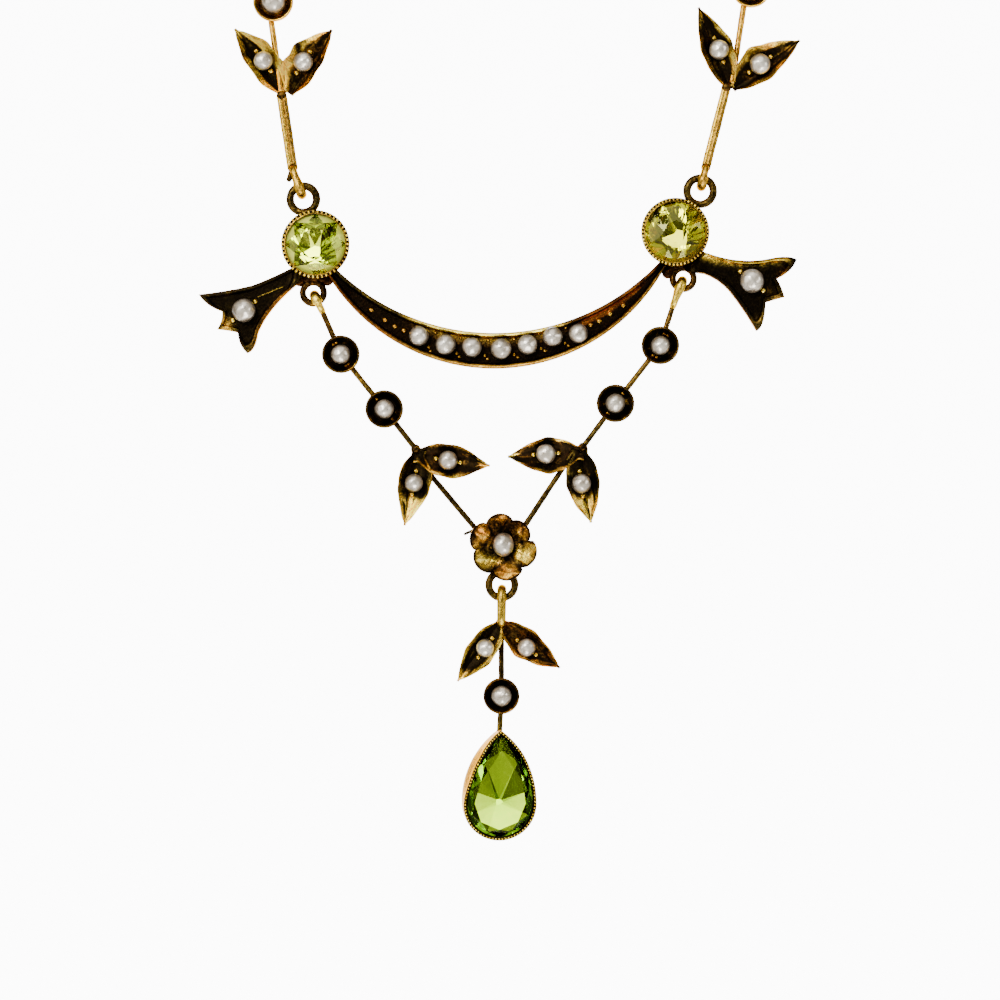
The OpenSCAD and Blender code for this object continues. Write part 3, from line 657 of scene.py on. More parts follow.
BAR_LOW = (np.array([-0.53, 29.34]), 17.52)
BAR_HIGH = (np.array([-0.5, 35.44]), 20.42)
BAR_FRONT = 0.8
BAR_BACK = -0.7
BAR_TURNS = (-59.6, 63.0)
HIGH_SHARE = 53.77 / 70.08
RIM = 0.38

# The bar's section runs over the lower rim, the floor, the upper rim and the back.
LOW_RIM_END = 9
BAR_FLOOR_END = 19
TOP_RIM_END = 28

PEARLS_SWAG = [
    (-7.29, 14.75, 1.9), (-4.9, 13.98, 1.95), (-2.52, 13.75, 1.9), (0.09, 13.59, 2.0),
    (2.46, 13.98, 1.9), (4.73, 14.68, 1.9), (7.04, 14.98, 1.85),
]
PEARLS_TAIL = [(-23.01, 17.02, 2.25), (22.64, 19.68, 2.3)]
BAR_GRAINS = [
    (-8.65, 15.25), (-9.45, 15.62), (-10.35, 16.2), (-11.6, 17.1),
    (8.15, 15.75), (8.9, 16.1), (9.9, 16.75), (11.1, 17.5),
]
TAIL_LEFT = [
    (-17.4, 21.6, -20.1, 20.1), (-22.3, 19.3, -24.6, 18.75), (-27.12, 18.5, -26.4, 17.4),
    (-25.0, 16.95, -24.9, 16.2), (-25.45, 15.35, -24.4, 15.25), (-23.6, 15.05, -23.5, 13.9),
    (-22.75, 13.2, -22.0, 13.4), (-21.75, 15.0, -20.9, 17.2), (-18.1, 19.5, -17.6, 20.2),
]
TAIL_RIGHT = [
    (16.6, 20.6, 19.0, 20.6), (20.6, 18.8, 21.9, 17.2), (23.05, 15.2, 23.8, 15.4),
    (23.9, 17.75, 24.6, 18.0), (25.6, 18.25, 25.3, 19.3), (24.9, 19.9, 26.3, 20.5),
    (26.7, 21.65, 26.0, 22.05), (24.4, 21.75, 21.6, 21.1), (18.4, 22.3, 17.2, 23),
]
LOW_WEB = [
    (-17.5, 20.05, 1.3), (-16.1, 20.0, 1.2), (-15.2, 20.35, 1.2), (15.3, 20.75, 1.3), (15.9, 21.1, 1.2),
]
LOW_SOLDER = [(-18.05, 19.75, 1.1), (-15.55, 19.8, 1.1), (15.1, 20.45, 1.1)]
TAIL_ROWS = [
    (0.02, -0.5, 0.25), (0.5, -0.5, 0.25), (0.95, -0.5, 0.25), (0.99, -0.47, 0.3), (1.0, -0.36, 0.3),
    (1.0, 0.0, 0.3), (1.0, 0.3, 0.3), (0.99, 0.42, 0.28), (0.97, 0.53, 0.26), (0.93, 0.62, 0.24),
    (0.88, 0.65, 0.2), (0.84, 0.62, 0.2), (0.81, 0.52, 0.15), (0.79, 0.36, 0.1),
] + [(share, TAIL_FLOOR, 0.08) for share in (0.77, 0.68, 0.6, 0.5, 0.4, 0.2, 0.02)]

# Places in the photograph's pixels: rubbed or dark spots and painted highlights, and the line cut into the
# left tail.
TAIL_LINE = [(258, 297), (283, 287)]
# Among the left tail's spots, the bright gold one at its middle tip is a painted highlight.
SPOTS_TAIL_LEFT = [
    (270, 279, 14, 0.02, -0.1), (212, 293, 12, 0.04, -0.1), (245, 285, 30, 0.02, -0.1),
    (280, 307, 10, 0.32, 0.9), (270, 320, 9, 0.32, 0.9), (262, 334, 8, 0.28, 0.7),
    (228, 326, 7, 0.6, 0.25), (222, 318, 6, 0.3, 0.2), (250, 344, 8, 0.15, 0.1), (289, 296, 8, 0.35, 0.9),
]
# The bright spots along the right tail's top edge are a painted highlight.
SPOTS_TAIL_RIGHT = [
    (706, 256, 6, 0.8, -0.1), (716, 259, 6, 0.8, -0.1), (728, 261, 6, 0.85, -0.1), (740, 262, 6, 0.8, -0.1),
    (752, 262, 5, 0.7, -0.1), (764, 261, 6, 0.8, -0.1), (776, 259, 6, 0.8, -0.1), (786, 258, 5, 0.6, 0),
    (783, 273, 7, 0.3, 0.7), (758, 318, 8, 0.25, 0.1), (766, 290, 6, 0.3, 0.3), (777, 298, 6, 0.25, 0.2),
]
COLLET_SPOTS = [(0, -30, 14, -0.2, 0), (26, 18, 12, -0.2, 0.2)]
# The stretch of the upper rim with the sandy band of painted highlight.
SANDY_HIGHLIGHT_FROM = (400, 425)
SANDY_HIGHLIGHT_TO = (545, 575)
ORANGE_FROM = (560, 590)
ORANGE_TO = (630, 655)
LOW_RIM_COPPER = (430, 350)
TOP_RIM_COPPER = (560, 585)


def bar_point(turn, disc, share=1.0):
    """A point of one of the two arcs that bound the crescent."""
    centre, radius = disc
    return centre + radius * np.array([math.sin(turn * share), -math.cos(turn * share)])


def bar(build):
    """The crescent: a channel between two raised rims, narrowing to its horns."""
    layers = []
    tones = []
    for turn in np.radians(np.linspace(*BAR_TURNS, 170)):
        low = bar_point(turn, BAR_LOW)
        high = bar_point(turn, BAR_HIGH, HIGH_SHARE)
        width = np.linalg.norm(high - low)
        across = (high - low) / width
        rim = min(RIM, width / 2 - 0.12)
        deep = (BAR_FRONT - BAR_FLOOR) * smooth(0.12, 0.45, width / 2 - rim)
        wall = rim + 0.05
        foot = wall + 0.07
        side = [
            (0.1, BAR_BACK, 0.25), (0.0, BAR_BACK + 0.12, 0.3), (0.0, 0.0, 0.35),
            (0.0, BAR_FRONT - 0.3, 0.45), (0.03, BAR_FRONT - 0.15, 0.6), (0.1, BAR_FRONT - 0.04, 0.66),
            (rim / 2, BAR_FRONT, 0.66), (rim - 0.09, BAR_FRONT - 0.05, 0.6), (rim, BAR_FRONT - 0.2, 0.35),
            (wall, BAR_FRONT - deep + 0.08, 0.06), (foot, BAR_FRONT - deep, 0.03),
        ]
        floor = [(foot + (width - 2 * foot) * k / 7, BAR_FRONT - deep, 0.03) for k in range(1, 7)]
        other = [(width - w, f, b) for w, f, b in reversed(side)]
        back = [(width - 0.1 - (width - 0.2) * k / 4, BAR_BACK, 0.25) for k in range(1, 4)]
        profile = side + floor + other + back
        layers.append([[*(low + across * w), f] for w, f, b in profile])
        tones.append([b for w, f, b in profile])
    points = np.array(layers)
    build.grid(points, True, False, *bar_finish(points, np.array(tones)), ends=True)
    for p in BAR_GRAINS:
        grain(build, p, BAR_FLOOR, bright=0.7, copper=0.55 if p[0] < 0 else 0.4)
    for before, after in zip(PEARLS_SWAG, PEARLS_SWAG[1:]):
        a, b = np.array(before[:2]), np.array(after[:2])
        way = towards(a, b)
        for side, slip in ((0.72, 0.1), (-0.7, -0.12), (-1.0, 0.15)):
            place = (a + b) / 2 + left_of(way) * side + way * slip
            grain(build, place, BAR_FLOOR, SMALL_GRAIN, bright=0.6, copper=0.4)


def bar_finish(points, bright):
    """The bar's rubbed rims, sandy and orange channel wall and warm floor. The sandy band and the
    lighter middle of the lower rim are painted highlights.
    """
    index = np.arange(points.shape[1])
    x = points[..., 0] / PIXEL + PHOTO_MIDDLE
    lower = (index < LOW_RIM_END)[None]
    floor = ((index >= LOW_RIM_END) & (index < BAR_FLOOR_END))[None]
    upper = ((index >= BAR_FLOOR_END) & (index < TOP_RIM_END))[None]
    sandy_highlight = smooth(*SANDY_HIGHLIGHT_FROM, x) * (1 - smooth(*SANDY_HIGHLIGHT_TO, x))
    orange = smooth(*ORANGE_FROM, x) * (1 - smooth(*ORANGE_TO, x))
    slope = np.interp(index, BAR_FLOOR_END - np.arange(5, -1, -1), [0, 0.5, 0.85, 1, 1, 0])[None]
    # Painted highlights: the sandy band on the upper rim and the wall below it, and the lighter middle of the
    # lower rim.
    bright = bright + upper * (sandy_highlight * 0.32 - (1 - sandy_highlight) * 0.28)
    bright = bright + lower * (0.1 * np.exp(-((x - PHOTO_MIDDLE) / 90) ** 2) - 0.12)
    bright = bright + slope * (0.5 * sandy_highlight + 0.62 * orange) + 0.05 * floor
    copper = lower * (0.35 + 0.5 * smooth(*LOW_RIM_COPPER, x))
    copper = copper + upper * (0.85 * smooth(*TOP_RIM_COPPER, x))
    copper = copper + 0.6 * floor + slope * (0.8 * orange - 0.45 * sandy_highlight)
    return bright, copper


def tail_outline(rows):
    """Curves from each row's first point to the next row's, bent towards its second point."""
    out = []
    for row, after in zip(rows, rows[1:] + rows[:1]):
        a, c, b = np.array(row[0:2]), np.array(row[2:4]), np.array(after[0:2])
        for t in np.arange(0, 1, 0.05):
            out.append((1 - t) ** 2 * a + 2 * t * (1 - t) * c + t * t * b)
    return np.array(out)


def tail(build, rows, pearl, along, tilt=0.0):
    """A ribbon tail: a plate with a sunk face inside its raised edge, which tilt lowers at its top."""
    first = build.count
    outline = tail_outline(rows)
    centre = np.array(pearl[:2])
    points = np.array([np.column_stack([centre + (outline - centre) * s, np.full(len(outline), f)])
                       for s, f, b in TAIL_ROWS])
    share, high, bright = np.array(TAIL_ROWS).T[:, :, None]
    above = smooth(0.7, 1.2, (outline - centre)[:, 1])[None]
    points[..., 2] -= (high > 0.4) * above * tilt * smooth(0.82, 1.0, share)
    build.grid(points, True, False, bright, 0.0, ends=True)
    grain_pair(build, pearl, along, TAIL_FLOOR, bright=0.8, copper=0.1)
    return first


def round_outline(inset):
    turn = full_turn(120)
    return (COLLET_R - inset) * np.stack([np.cos(turn), np.sin(turn)], -1)


COLLET_ROWS = [
    (0.42, -1.3, 0.3), (0.36, -1.28, 0.35), (0.04, 0.98, 0.5), (0.0, 1.12, 0.55), (0.0, 1.34, 0.5),
    (0.02, 1.42, 0.2), (0.07, 1.48, 0.1), (0.17, 1.5, 0.1), (0.21, 1.52, 0.1), (0.24, 1.55, 0.3),
    (0.28, 1.58, 0.6), (0.33, 1.58, 0.75), (0.36, 1.52, 0.5), (0.38, 1.26, 0.2), (0.24, 1.14, 0.1),
    (0.22, 1.14, 0.1), (0.22, 0.93, 0.8), (0.6, 0.62, 1.1), (0.72, 0.55, 1.1), (0.82, -1.2, 0.95),
    (0.8, -1.3, 0.25),
]
BEAD_TOP = 1.52


def beads(build, centre, outline, inset, size, pitch, long):
    """Millegrain: small beads round the top of a collet's wall, each long times as deep as wide."""
    line = outline(inset)
    closed = np.vstack([line, line[:1]])
    places = evenly(closed, round(path_run(closed)[-1] / pitch))
    turn = np.linspace(0, math.pi, 6)
    ring = full_turn(9)
    for x, y in places[:-1]:
        jitter = 1 + 0.14 * wobble((x * 3, y * 3, 1))
        away = unit((x, y))
        flat = np.sin(turn)[:, None] * np.cos(ring) * size * jitter * long
        side = np.sin(turn)[:, None] * np.sin(ring) * size * jitter
        points = np.empty((6, 9, 3))
        points[..., 0] = centre[0] + x + flat * away[0] - side * away[1]
        points[..., 1] = centre[1] + y + flat * away[1] + side * away[0]
        points[..., 2] = BEAD_TOP + np.cos(turn)[:, None] * size * jitter
        build.grid(points, True, False, 0.85 + 0.3 * wobble((x * 2, y * 2, 5)), 0.05)


def collet(build, centre, outline, rows, bead_inset, size, pitch, long=1.0, copper=0.1):
    first = build.count
    bright = [b for inset, f, b in rows]
    build.shell(at(centre, 0), outline, [row[:2] for row in rows], bright, copper)
    beads(build, centre, outline, bead_inset, size, pitch, long)
    return first


def ring_wire(centre, size, p):
    """Where a ring's wire runs, on the side of a point. size is the ring's width and its wire's."""
    return centre + towards(centre, p) * (size[0] - size[1]) / 2


def collet_edge(collet_at, ring_at):
    return collet_at + (COLLET_R - 0.15) * towards(collet_at, ring_at)


def swag():
    build = Build()
    bar(build)
    build.wire(*(at(spot(*p), TAIL_FLOOR) for p in TAIL_LINE), 0.05, bright=0.5)
    first = tail(build, TAIL_LEFT, PEARLS_TAIL[0], (1.2, 1))
    build.patch(first, SPOTS_TAIL_LEFT)
    first = tail(build, TAIL_RIGHT, PEARLS_TAIL[1], (1.2, -1), 0.3)
    build.patch(first, SPOTS_TAIL_RIGHT)
    for centre, pitch, long in zip(COLLETS, (0.4, 0.34), (1.3, 1.1)):
        first = collet(build, centre, round_outline, COLLET_ROWS, 0.13, 0.125, pitch, long)
        px, py = pixel(*centre)
        build.patch(first, [(px + dx, py + dy, *rest) for dx, dy, *rest in COLLET_SPOTS])
    for centre in TOP_RINGS:
        build.ring(at(centre), *TOP_RING, bright=0.38, copper=0.12)
    for centre in LOW_RINGS:
        build.ring(at(centre), *LOW_RING, bright=0.33, copper=0.4)
    for collet_at, top_ring, low_ring in zip(COLLETS, TOP_RINGS, LOW_RINGS):
        build.solder(collet_edge(collet_at, top_ring), 1.1, 0.3, 0.2)
        build.solder(collet_edge(collet_at, low_ring), 1.1, 0.25, 0.6)
    for row in LOW_SOLDER:
        build.solder(row[:2], row[2], 0.25, 0.8)
    for row in LOW_WEB:
        build.solder(row[:2], row[2], 0.2, 0.7, -0.5)
    build.piece("swag", METAL, "necklace", ["swag_frame"])
    pearls("swag_pearls", PEARLS_SWAG, "necklace", numbered("pearl_swag", 7), [0.1] * 7)
    pearls("tail_pearls", PEARLS_TAIL, "necklace", ["pearl_tail_left", "pearl_tail_right"], [0.25] * 2)


# Stones

GIRDLE = 1.0
GIRDLE_TOP = 1.1
TABLE = 1.85
CULET = -1.1
SIDES = 8
CLOUDY_FROM = 0.4
STONE_R = 2.8

# Where each ring of a stone's points starts, after the table's.
STAR, EDGE_TOP, EDGE_LOW, MAIN, END = 8, 16, 32, 48, 56


def stone_points(outline, shares, culet):
    """The table, the stars' points, the girdle's two edges, the mains' points and the culet."""
    table, star, low, flat_end = shares
    turn = np.radians(90 + 180 / SIDES * np.arange(2 * SIDES))
    flat = np.stack([np.cos(turn), np.sin(turn)], -1) * np.array([outline(t) for t in turn])[:, None]
    corner, between = flat[::2], flat[1::2]
    wide = math.cos(math.pi / SIDES)
    star_f = TABLE + (GIRDLE_TOP - TABLE) * (star * wide - table) / (1 - table)
    uneven = np.array([1 + 0.9 * wobble((k * 1.3, flat_end * 9, 2)) for k in range(SIDES)])
    end = culet + (flat_end * uneven)[:, None] * np.stack([np.cos(turn[::2]), np.sin(turn[::2])], -1)
    side = (end + np.roll(end, -1, 0)) / 2
    reach = np.linalg.norm(between, axis=1)
    share = (low * reach / np.linalg.norm(between - side, axis=1))[:, None]
    deep = CULET + (GIRDLE - CULET) * share * 0.96
    rings = [(corner * table, TABLE), (between * star, star_f), (flat, GIRDLE_TOP), (flat, GIRDLE),
             (side + (between - side) * share, deep), (end, CULET)]
    return np.vstack([np.hstack([ring, np.broadcast_to(f, (len(ring), 1))]) for ring, f in rings])


def stone_faces():
    faces = [list(range(SIDES))]
    for k in range(SIDES):
        after, before = (k + 1) % SIDES, (k - 1) % SIDES
        here, half, ahead = EDGE_TOP + 2 * k, EDGE_TOP + 2 * k + 1, EDGE_TOP + 2 * after
        drop_to_low = EDGE_LOW - EDGE_TOP
        here_low, half_low, ahead_low = here + drop_to_low, half + drop_to_low, ahead + drop_to_low
        star, main = STAR + k, MAIN + k
        faces += [
            [k, star, after], [k, STAR + before, here, star], [star, here, half], [star, half, ahead],
            [here, here_low, half_low, half], [half, half_low, ahead_low, ahead],
            [here_low, MAIN + before, END + k, main], [here_low, main, half_low],
            [half_low, main, ahead_low], [END + k, END + after, main],
        ]
    return faces + [list(range(END, END + SIDES))]


def stone(name, material, node, body, centre, outline, shares, culet, clear, edge=None):
    """An old cut: a table, stars, kites and halves above the girdle; mains and halves below, and a
    small flat culet.

    outline(turn) is the girdle's radius; shares are the table's, the stars' and the mains' shares of
    it and the culet's radius. clear(x, y) gives each lower facet its painted shade, from 1 for clear
    down to dark; edge is the finish of the halves above the girdle that scatter light."""
    points = stone_points(outline, shares, culet)
    faces = stone_faces()
    facets = []
    cloudy = []
    for face in faces:
        x, y, f = np.mean(points[face], axis=0)
        facets.append(clear(x, y) if f < GIRDLE - 0.02 else 1.0)
        above = len(face) == 3 and GIRDLE_TOP < f < TABLE - CLOUDY_FROM * (TABLE - GIRDLE_TOP)
        cloudy.append(int(above and wobble((x * 1.3, y * 1.3, 8)) > -0.2))
    build = Build()
    build.add(points + at(centre, 0), faces)
    if body == "drop":
        lean(build)
    shown = build.piece(name, material, body, [node], ripple=0, sharp=1, weld=False)
    polygons = shown.data.polygons
    polygons.foreach_set("use_smooth", [False] * len(polygons))
    layer = shown.data.attributes.new("facet", "FLOAT", "FACE")
    layer.data.foreach_set("value", np.clip(facets, 0, 1).astype(np.float32))
    if edge is not None:
        shown.data.materials.append(edge)
        polygons.foreach_set("material_index", cloudy)


PEAR_AT = (-0.08, -27.19)
PEAR_R = 3.38
PEAR_TIP = 6.55
PEAR_ARC = (PEAR_TIP ** 2 + PEAR_R ** 2) / (2 * PEAR_R)
STONE_INSET = 0.28
LEAN_HEIGHTS = [-3.4, -1.5, 0.3, 2.0, 4.2, 6.6]
LEAN_SHIFTS = [0, 0.08, 0.22, 0.5, 0.62, 0.3]


def lean(build, first=0):
    """The pear leans: its front is drawn in from the left, most of all near its tip."""
    for points, tone in build.since(first):
        x, y, f = (points - at(PEAR_AT, 0)).T
        share = np.clip((PEAR_R - x) / (2 * PEAR_R), 0, 1)
        points[:, 0] += smooth(-0.9, 1.5, f) * share * np.interp(y, LEAN_HEIGHTS, LEAN_SHIFTS)


def pear_radius(turn, inset=0.0):
    """How far the pear's outline lies from its middle: a half round below two arcs to its tip."""
    off = PEAR_ARC - PEAR_R
    arc = PEAR_ARC - inset
    c = off * abs(math.cos(turn))
    if math.sin(turn) <= 0:
        return PEAR_R - inset
    return -c + math.sqrt(c * c + arc * arc - off * off)


def pear_outline(inset, steps=150):
    turn = np.linspace(math.pi / 2, math.pi / 2 + FULL, steps, endpoint=False)
    return np.array([pear_radius(t, inset) * np.array([math.cos(t), math.sin(t)]) for t in turn])


PEAR_ROWS = [
    (0.06, -1.3, 0.3), (0.0, -1.24, 0.35), (0.0, -0.6, 0.45), (0.0, 0.2, 0.55), (0.0, 0.8, 0.6),
    (0.0, 1.2, 0.7), (0.02, 1.4, 0.6), (0.06, 1.48, 0.2), (0.14, 1.5, 0.1), (0.2, 1.52, 0.1),
    (0.24, 1.55, 0.15), (0.3, 1.56, 0.2), (0.36, 1.5, 0.2), (0.4, 1.24, 0.2), (0.25, 1.12, 0.1),
    (0.24, 0.62, 0.1), (0.78, 0.5, 0.12), (0.8, -1.2, 0.2), (0.74, -1.3, 0.25),
]


def left_facet_shade(x, y):
    """Painted shade: clear at its culet and its edge, with a dark ring between them."""
    far = math.hypot(x, y + 0.3)
    ring = math.exp(-((far - 1.3) / 0.5) ** 2)
    return 1.0 - 0.95 * ring + 0.25 * wobble((x, y, 4))


def right_facet_shade(x, y):
    """Patches of olive and brown: the brown patches are painted shade."""
    return 0.6 + 0.9 * wobble((x * 0.9, y * 0.9, 6.5))


def pear_facet_shade(x, y):
    """Painted shade: dark above, clear in the round below."""
    lower = float(smooth(1.0, 0.2, y))
    return 0.06 + 0.94 * lower + 0.5 * (1 - lower) * wobble((x * 2, y * 2, 2))


def stones():
    stone("left_stone", PALE_GREEN, "round_peridot_left", "necklace", COLLETS[0],
          lambda turn: STONE_R, (0.52, 0.72, 0.42, 0.62), (-0.1, -0.65), left_facet_shade, PALE_EDGE)
    stone("right_stone", OLIVE, "round_peridot_right", "necklace", COLLETS[1],
          lambda turn: STONE_R, (0.36, 0.62, 0.5, 0.65), (0.2, -0.35), right_facet_shade)
    stone("pear_stone", GREEN, "pear_peridot", "drop", PEAR_AT,
          lambda turn: pear_radius(turn, STONE_INSET), (0.76, 0.88, 0.74, 0.3), (0.0, 0.0), pear_facet_shade)


# The garland and the drop

FLOWER_AT = (0.3, -4.05)
FLOWER_RING_AT = (0.17, -7.64)
PETAL_R = [2.75, 2.85, 3.1, 3.05, 3.2, 3.1]
ARM_LEFT = [(-16.02, 17.01), (-7.6, 4.6), (-7.42, 3.64), (-0.8, -4.24)]
ARM_RIGHT = [(15.57, 17.46), (7.45, 4.75), (6.6, 4.3), (1.35, -3.64)]
LEAVES_ARM_LEFT = [(-7.65, 4.2, -0.9, 3.1, 1.3, 1.7, 0.35), (-7.4, 4.5, -8.6, -2.3, 1.65, 1.2, 0.5)]
LEAVES_ARM_RIGHT = [(7.5, 4.35, 0.7, 3.9, 1.65, 1.4, 0.35), (7.3, 4.6, 8.2, -2.05, 1.25, 1.75, 0.5)]
LEAVES_DROP = [(0.0, -11.0, -3.83, -16.3, 1.4, 1.15, 0.5), (0.2, -11.0, 5.4, -15.1, 1.15, 1.6, 0.3)]
PEARLS_ARM_LEFT = [(-14.31, 13.1, 1.85), (-10.4, 8.18, 1.85), (-4.68, 3.56, 1.85), (-7.74, 1.54, 1.75)]
PEARLS_ARM_RIGHT = [(14.42, 13.9, 1.85), (10.38, 8.69, 1.85), (4.12, 4.15, 1.9), (7.31, 1.47, 1.85)]
PEARLS_DROP = [(-1.34, -13.32, 1.75), (2.39, -13.28, 1.75), (0.13, -17.62, 1.95)]
DROP_JOINT = (0.12, -11.2)
WIRE_R = 0.25
FIRST_PETAL = 40
PETAL_SHEET = 0.3
ARM_CUP = 3.4
DROP_CUP = 3.25
LINK_CUP = 3.6

# How far a wire runs from the middle of the cup or solder at its end.
CLEAR_OF = 0.35

# Places in the photograph's pixels.
WHISKER = [(476, 529), (465, 534)]
CUT_WIRE = [(293, 166), (289, 179)]
# The bright spots on the lower petals are painted highlights; the other spots warm the petals towards copper.
FLOWER_SPOTS = [
    (482, 562, 10, 0.45, -0.3), (520, 556, 9, 0.4, -0.3), (505, 572, 12, 0.1, 0.5), (482, 532, 14, 0.08, 0.6),
    (524, 528, 12, -0.05, 0.5), (503, 519, 9, 0.12, 0.5), (495, 558, 7, 0.25, -0.2), (532, 552, 5, 0.2, 0.0),
]
DROP_SPOTS = [(464, 778, 8, 0.0, 0.35), (484, 748, 10, 0.1, 0.0), (530, 820, 14, -0.1, 0)]


def arm(build, ring_at, points, rows, seeds, looks):
    """One side of the V: an eye, two cups on wires and a pair of leaves on the last wire."""
    low, joint, last_from, last_to = points
    first, second = seeds[0][:2], seeds[1][:2]
    build.eye(ring_wire(ring_at, LOW_RING, low), low, 0.7, 0.47, 0.35, bright=0.85, copper=0.05)
    build.wire(low, first, WIRE_R, -CLEAR_OF, CLEAR_OF, bright=0.42, copper=0.3)
    build.wire(first, second, WIRE_R, CLEAR_OF, CLEAR_OF, bright=0.5, copper=0.15)
    build.wire(second, joint, WIRE_R, CLEAR_OF, CLEAR_OF, bright=0.36, copper=0.1)
    build.solder(joint, 0.9, 0.25, 0.4)
    build.wire(last_from, last_to, WIRE_R, bright=0.36, copper=0.1)
    for p, before in ((first, low), (second, first)):
        cup(build, p, ARM_CUP)
        for a, b in ((before, p), (second, joint)):
            for reach in (-1.12, 1.12):
                grain(build, p + towards(a, b) * reach, 0.12, SMALL_GRAIN, bright=0.6, copper=0.5)
    leaf_pair(build, rows, seeds[2:4], looks)


def flower_radius(turn):
    """The six petals' outline, the first petal at FIRST_PETAL degrees."""
    petal = int(((math.degrees(turn) - FIRST_PETAL + 390) % 360) // 60)
    bend = abs(math.cos(3 * (turn - math.radians(FIRST_PETAL)))) ** 0.7
    return PETAL_R[petal] * (0.84 + 0.16 * bend)


def flower(build):
    """A cupped flower of thin sheet with six ribbed petals."""
    first = build.count
    turns = full_turn(216)
    shares = np.concatenate([[0.02, 0.12, 0.22], np.linspace(0.3, 0.96, 23), [0.985, 1.0]])
    reach = np.array([flower_radius(t) for t in turns])
    notch = np.abs(np.cos(3 * (turns - math.radians(FIRST_PETAL))))
    valley = np.exp(-((notch / 0.3) ** 2))
    streak = np.array([wobble((math.cos(t) * 9, math.sin(t) * 9, 3)) for t in turns])
    front = []
    folds = []
    lines = []
    for s in shares:
        x, y = np.cos(turns) * reach * s, np.sin(turns) * reach * s
        fold = np.array([wobble((a * 0.9, b * 0.9, 7)) for a, b in zip(x, y)])
        line = np.array([ridge(a * 0.8, b * 0.8, 3) - ridge(a * 0.6, b * 0.6, 9) for a, b in zip(x, y)])
        f = 1.15 * s ** 1.7 + WIRE_F
        f = f - 0.25 * valley * s + 0.08 * streak * s + 0.25 * s ** 4 * notch + 0.32 * fold * s
        front.append(np.stack([x, y, f + 0.09 * line * s], -1))
        folds.append(fold)
        lines.append(line)
    back = np.array(front[::-1]) - (0, 0, PETAL_SHEET)
    edge = np.array(front[-1:]) * (1.012, 1.012, 1) - (0, 0, PETAL_SHEET / 2)
    points = np.concatenate([front, edge, back]) + at(FLOWER_AT, 0)
    rim = 0.16 + 0.34 * smooth(0.3, 0.7, shares) - 0.5 * smooth(0.92, 0.98, shares)
    shade = np.concatenate([rim, [0.2], np.full(len(shares), 0.3)])
    folds, lines = (np.array(v + v[-1:] + v[::-1]) for v in (folds, lines))
    # Painted light and shade: raised folds lighter, thin crinkle lines light and dark, and the valleys
    # between the petals darker.
    bright = shade[:, None] + 0.12 * streak[None] - 0.16 * valley[None] + 0.5 * folds + 0.24 * lines
    build.grid(points, True, False, bright, 0.2, ends=True)
    build.patch(first, FLOWER_SPOTS)
    post = [(0, -0.65), (1.1, -0.65), (1.2, -0.6), (1.2, -0.25), (0, -0.2)]
    build.lathe(at(FLOWER_AT, 0), post, 32, 0.25, 0.2)


def garland():
    build = Build()
    slim = {"rim": 0.62, "tip": 0.4, "copper": 0.35}
    full = {"rim": 0.5, "tip": 0.62, "copper": 0.0, "tip_from": 0.52}
    arm(build, LOW_RINGS[0], ARM_LEFT, LEAVES_ARM_LEFT, PEARLS_ARM_LEFT, [slim, full])
    arm(build, LOW_RINGS[1], ARM_RIGHT, LEAVES_ARM_RIGHT, PEARLS_ARM_RIGHT, [slim, full])
    flower(build)
    x, y = FLOWER_RING_AT
    build.ring(at(FLOWER_RING_AT), *FLOWER_RING, bright=0.36, copper=0.1)
    build.wire(*(spot(*p) for p in WHISKER), 0.13, bright=0.3)
    build.wire(at(FLOWER_AT, -0.4), at((x, y + 1.2), -0.4), 0.3, CLEAR_OF, CLEAR_OF, bright=0.4)
    build.solder((x, y + 1.3), 0.9, 0.35, 0.2)
    build.piece("garland", METAL, "garland", ["garland_frame"])
    nodes = numbered("pearl_arm_left", 4) + numbered("pearl_arm_right", 4)
    floors = [CUP_FLOOR, CUP_FLOOR, LEAF_FLOOR, LEAF_FLOOR] * 2
    pearls("garland_pearls", PEARLS_ARM_LEFT + PEARLS_ARM_RIGHT, "garland", nodes, floors)
    pearls("flower_pearl", [(0.3, -4.0, 2.15)], "garland", ["pearl_flower"], [-0.12], (0.94, 1.07))


def drop():
    build = Build()
    low = PEARLS_DROP[2][:2]
    tip = (PEAR_AT[0], PEAR_AT[1] + PEAR_TIP - 0.9)
    broad = {"rim": 1.2, "tip": 0.6, "copper": 0.05, "band": 0.6, "base_width": 0.3}
    warm = {"rim": 0.75, "tip": 0.15, "copper": 0.5, "trough": 0.3, "base_width": 0.3}
    build.eye(ring_wire(FLOWER_RING_AT, FLOWER_RING, DROP_JOINT), DROP_JOINT, 0.805, 0.42, 0.05,
              bright=0.75, copper=0.05)
    build.solder(DROP_JOINT, 0.9, 0.35, 0.3)
    build.wire(DROP_JOINT, low, WIRE_R, CLEAR_OF, CLEAR_OF, bright=0.3, copper=0.15)
    build.wire(low, tip, WIRE_R, CLEAR_OF, CLEAR_OF, bright=0.4)
    leaf_pair(build, LEAVES_DROP, PEARLS_DROP[:2], [broad, warm])
    cup(build, low, DROP_CUP, copper=0.4)
    first = collet(build, PEAR_AT, pear_outline, PEAR_ROWS, 0.17, 0.1, 0.29, copper=-0.2)
    lean(build, first)
    build.patch(first, DROP_SPOTS)
    build.piece("drop", METAL, "drop", ["drop_frame"])
    floors = [LEAF_FLOOR, LEAF_FLOOR, CUP_FLOOR]
    pearls("drop_pearls", PEARLS_DROP, "drop", numbered("pearl_drop", 3), floors)


# Side links, chain and clasp

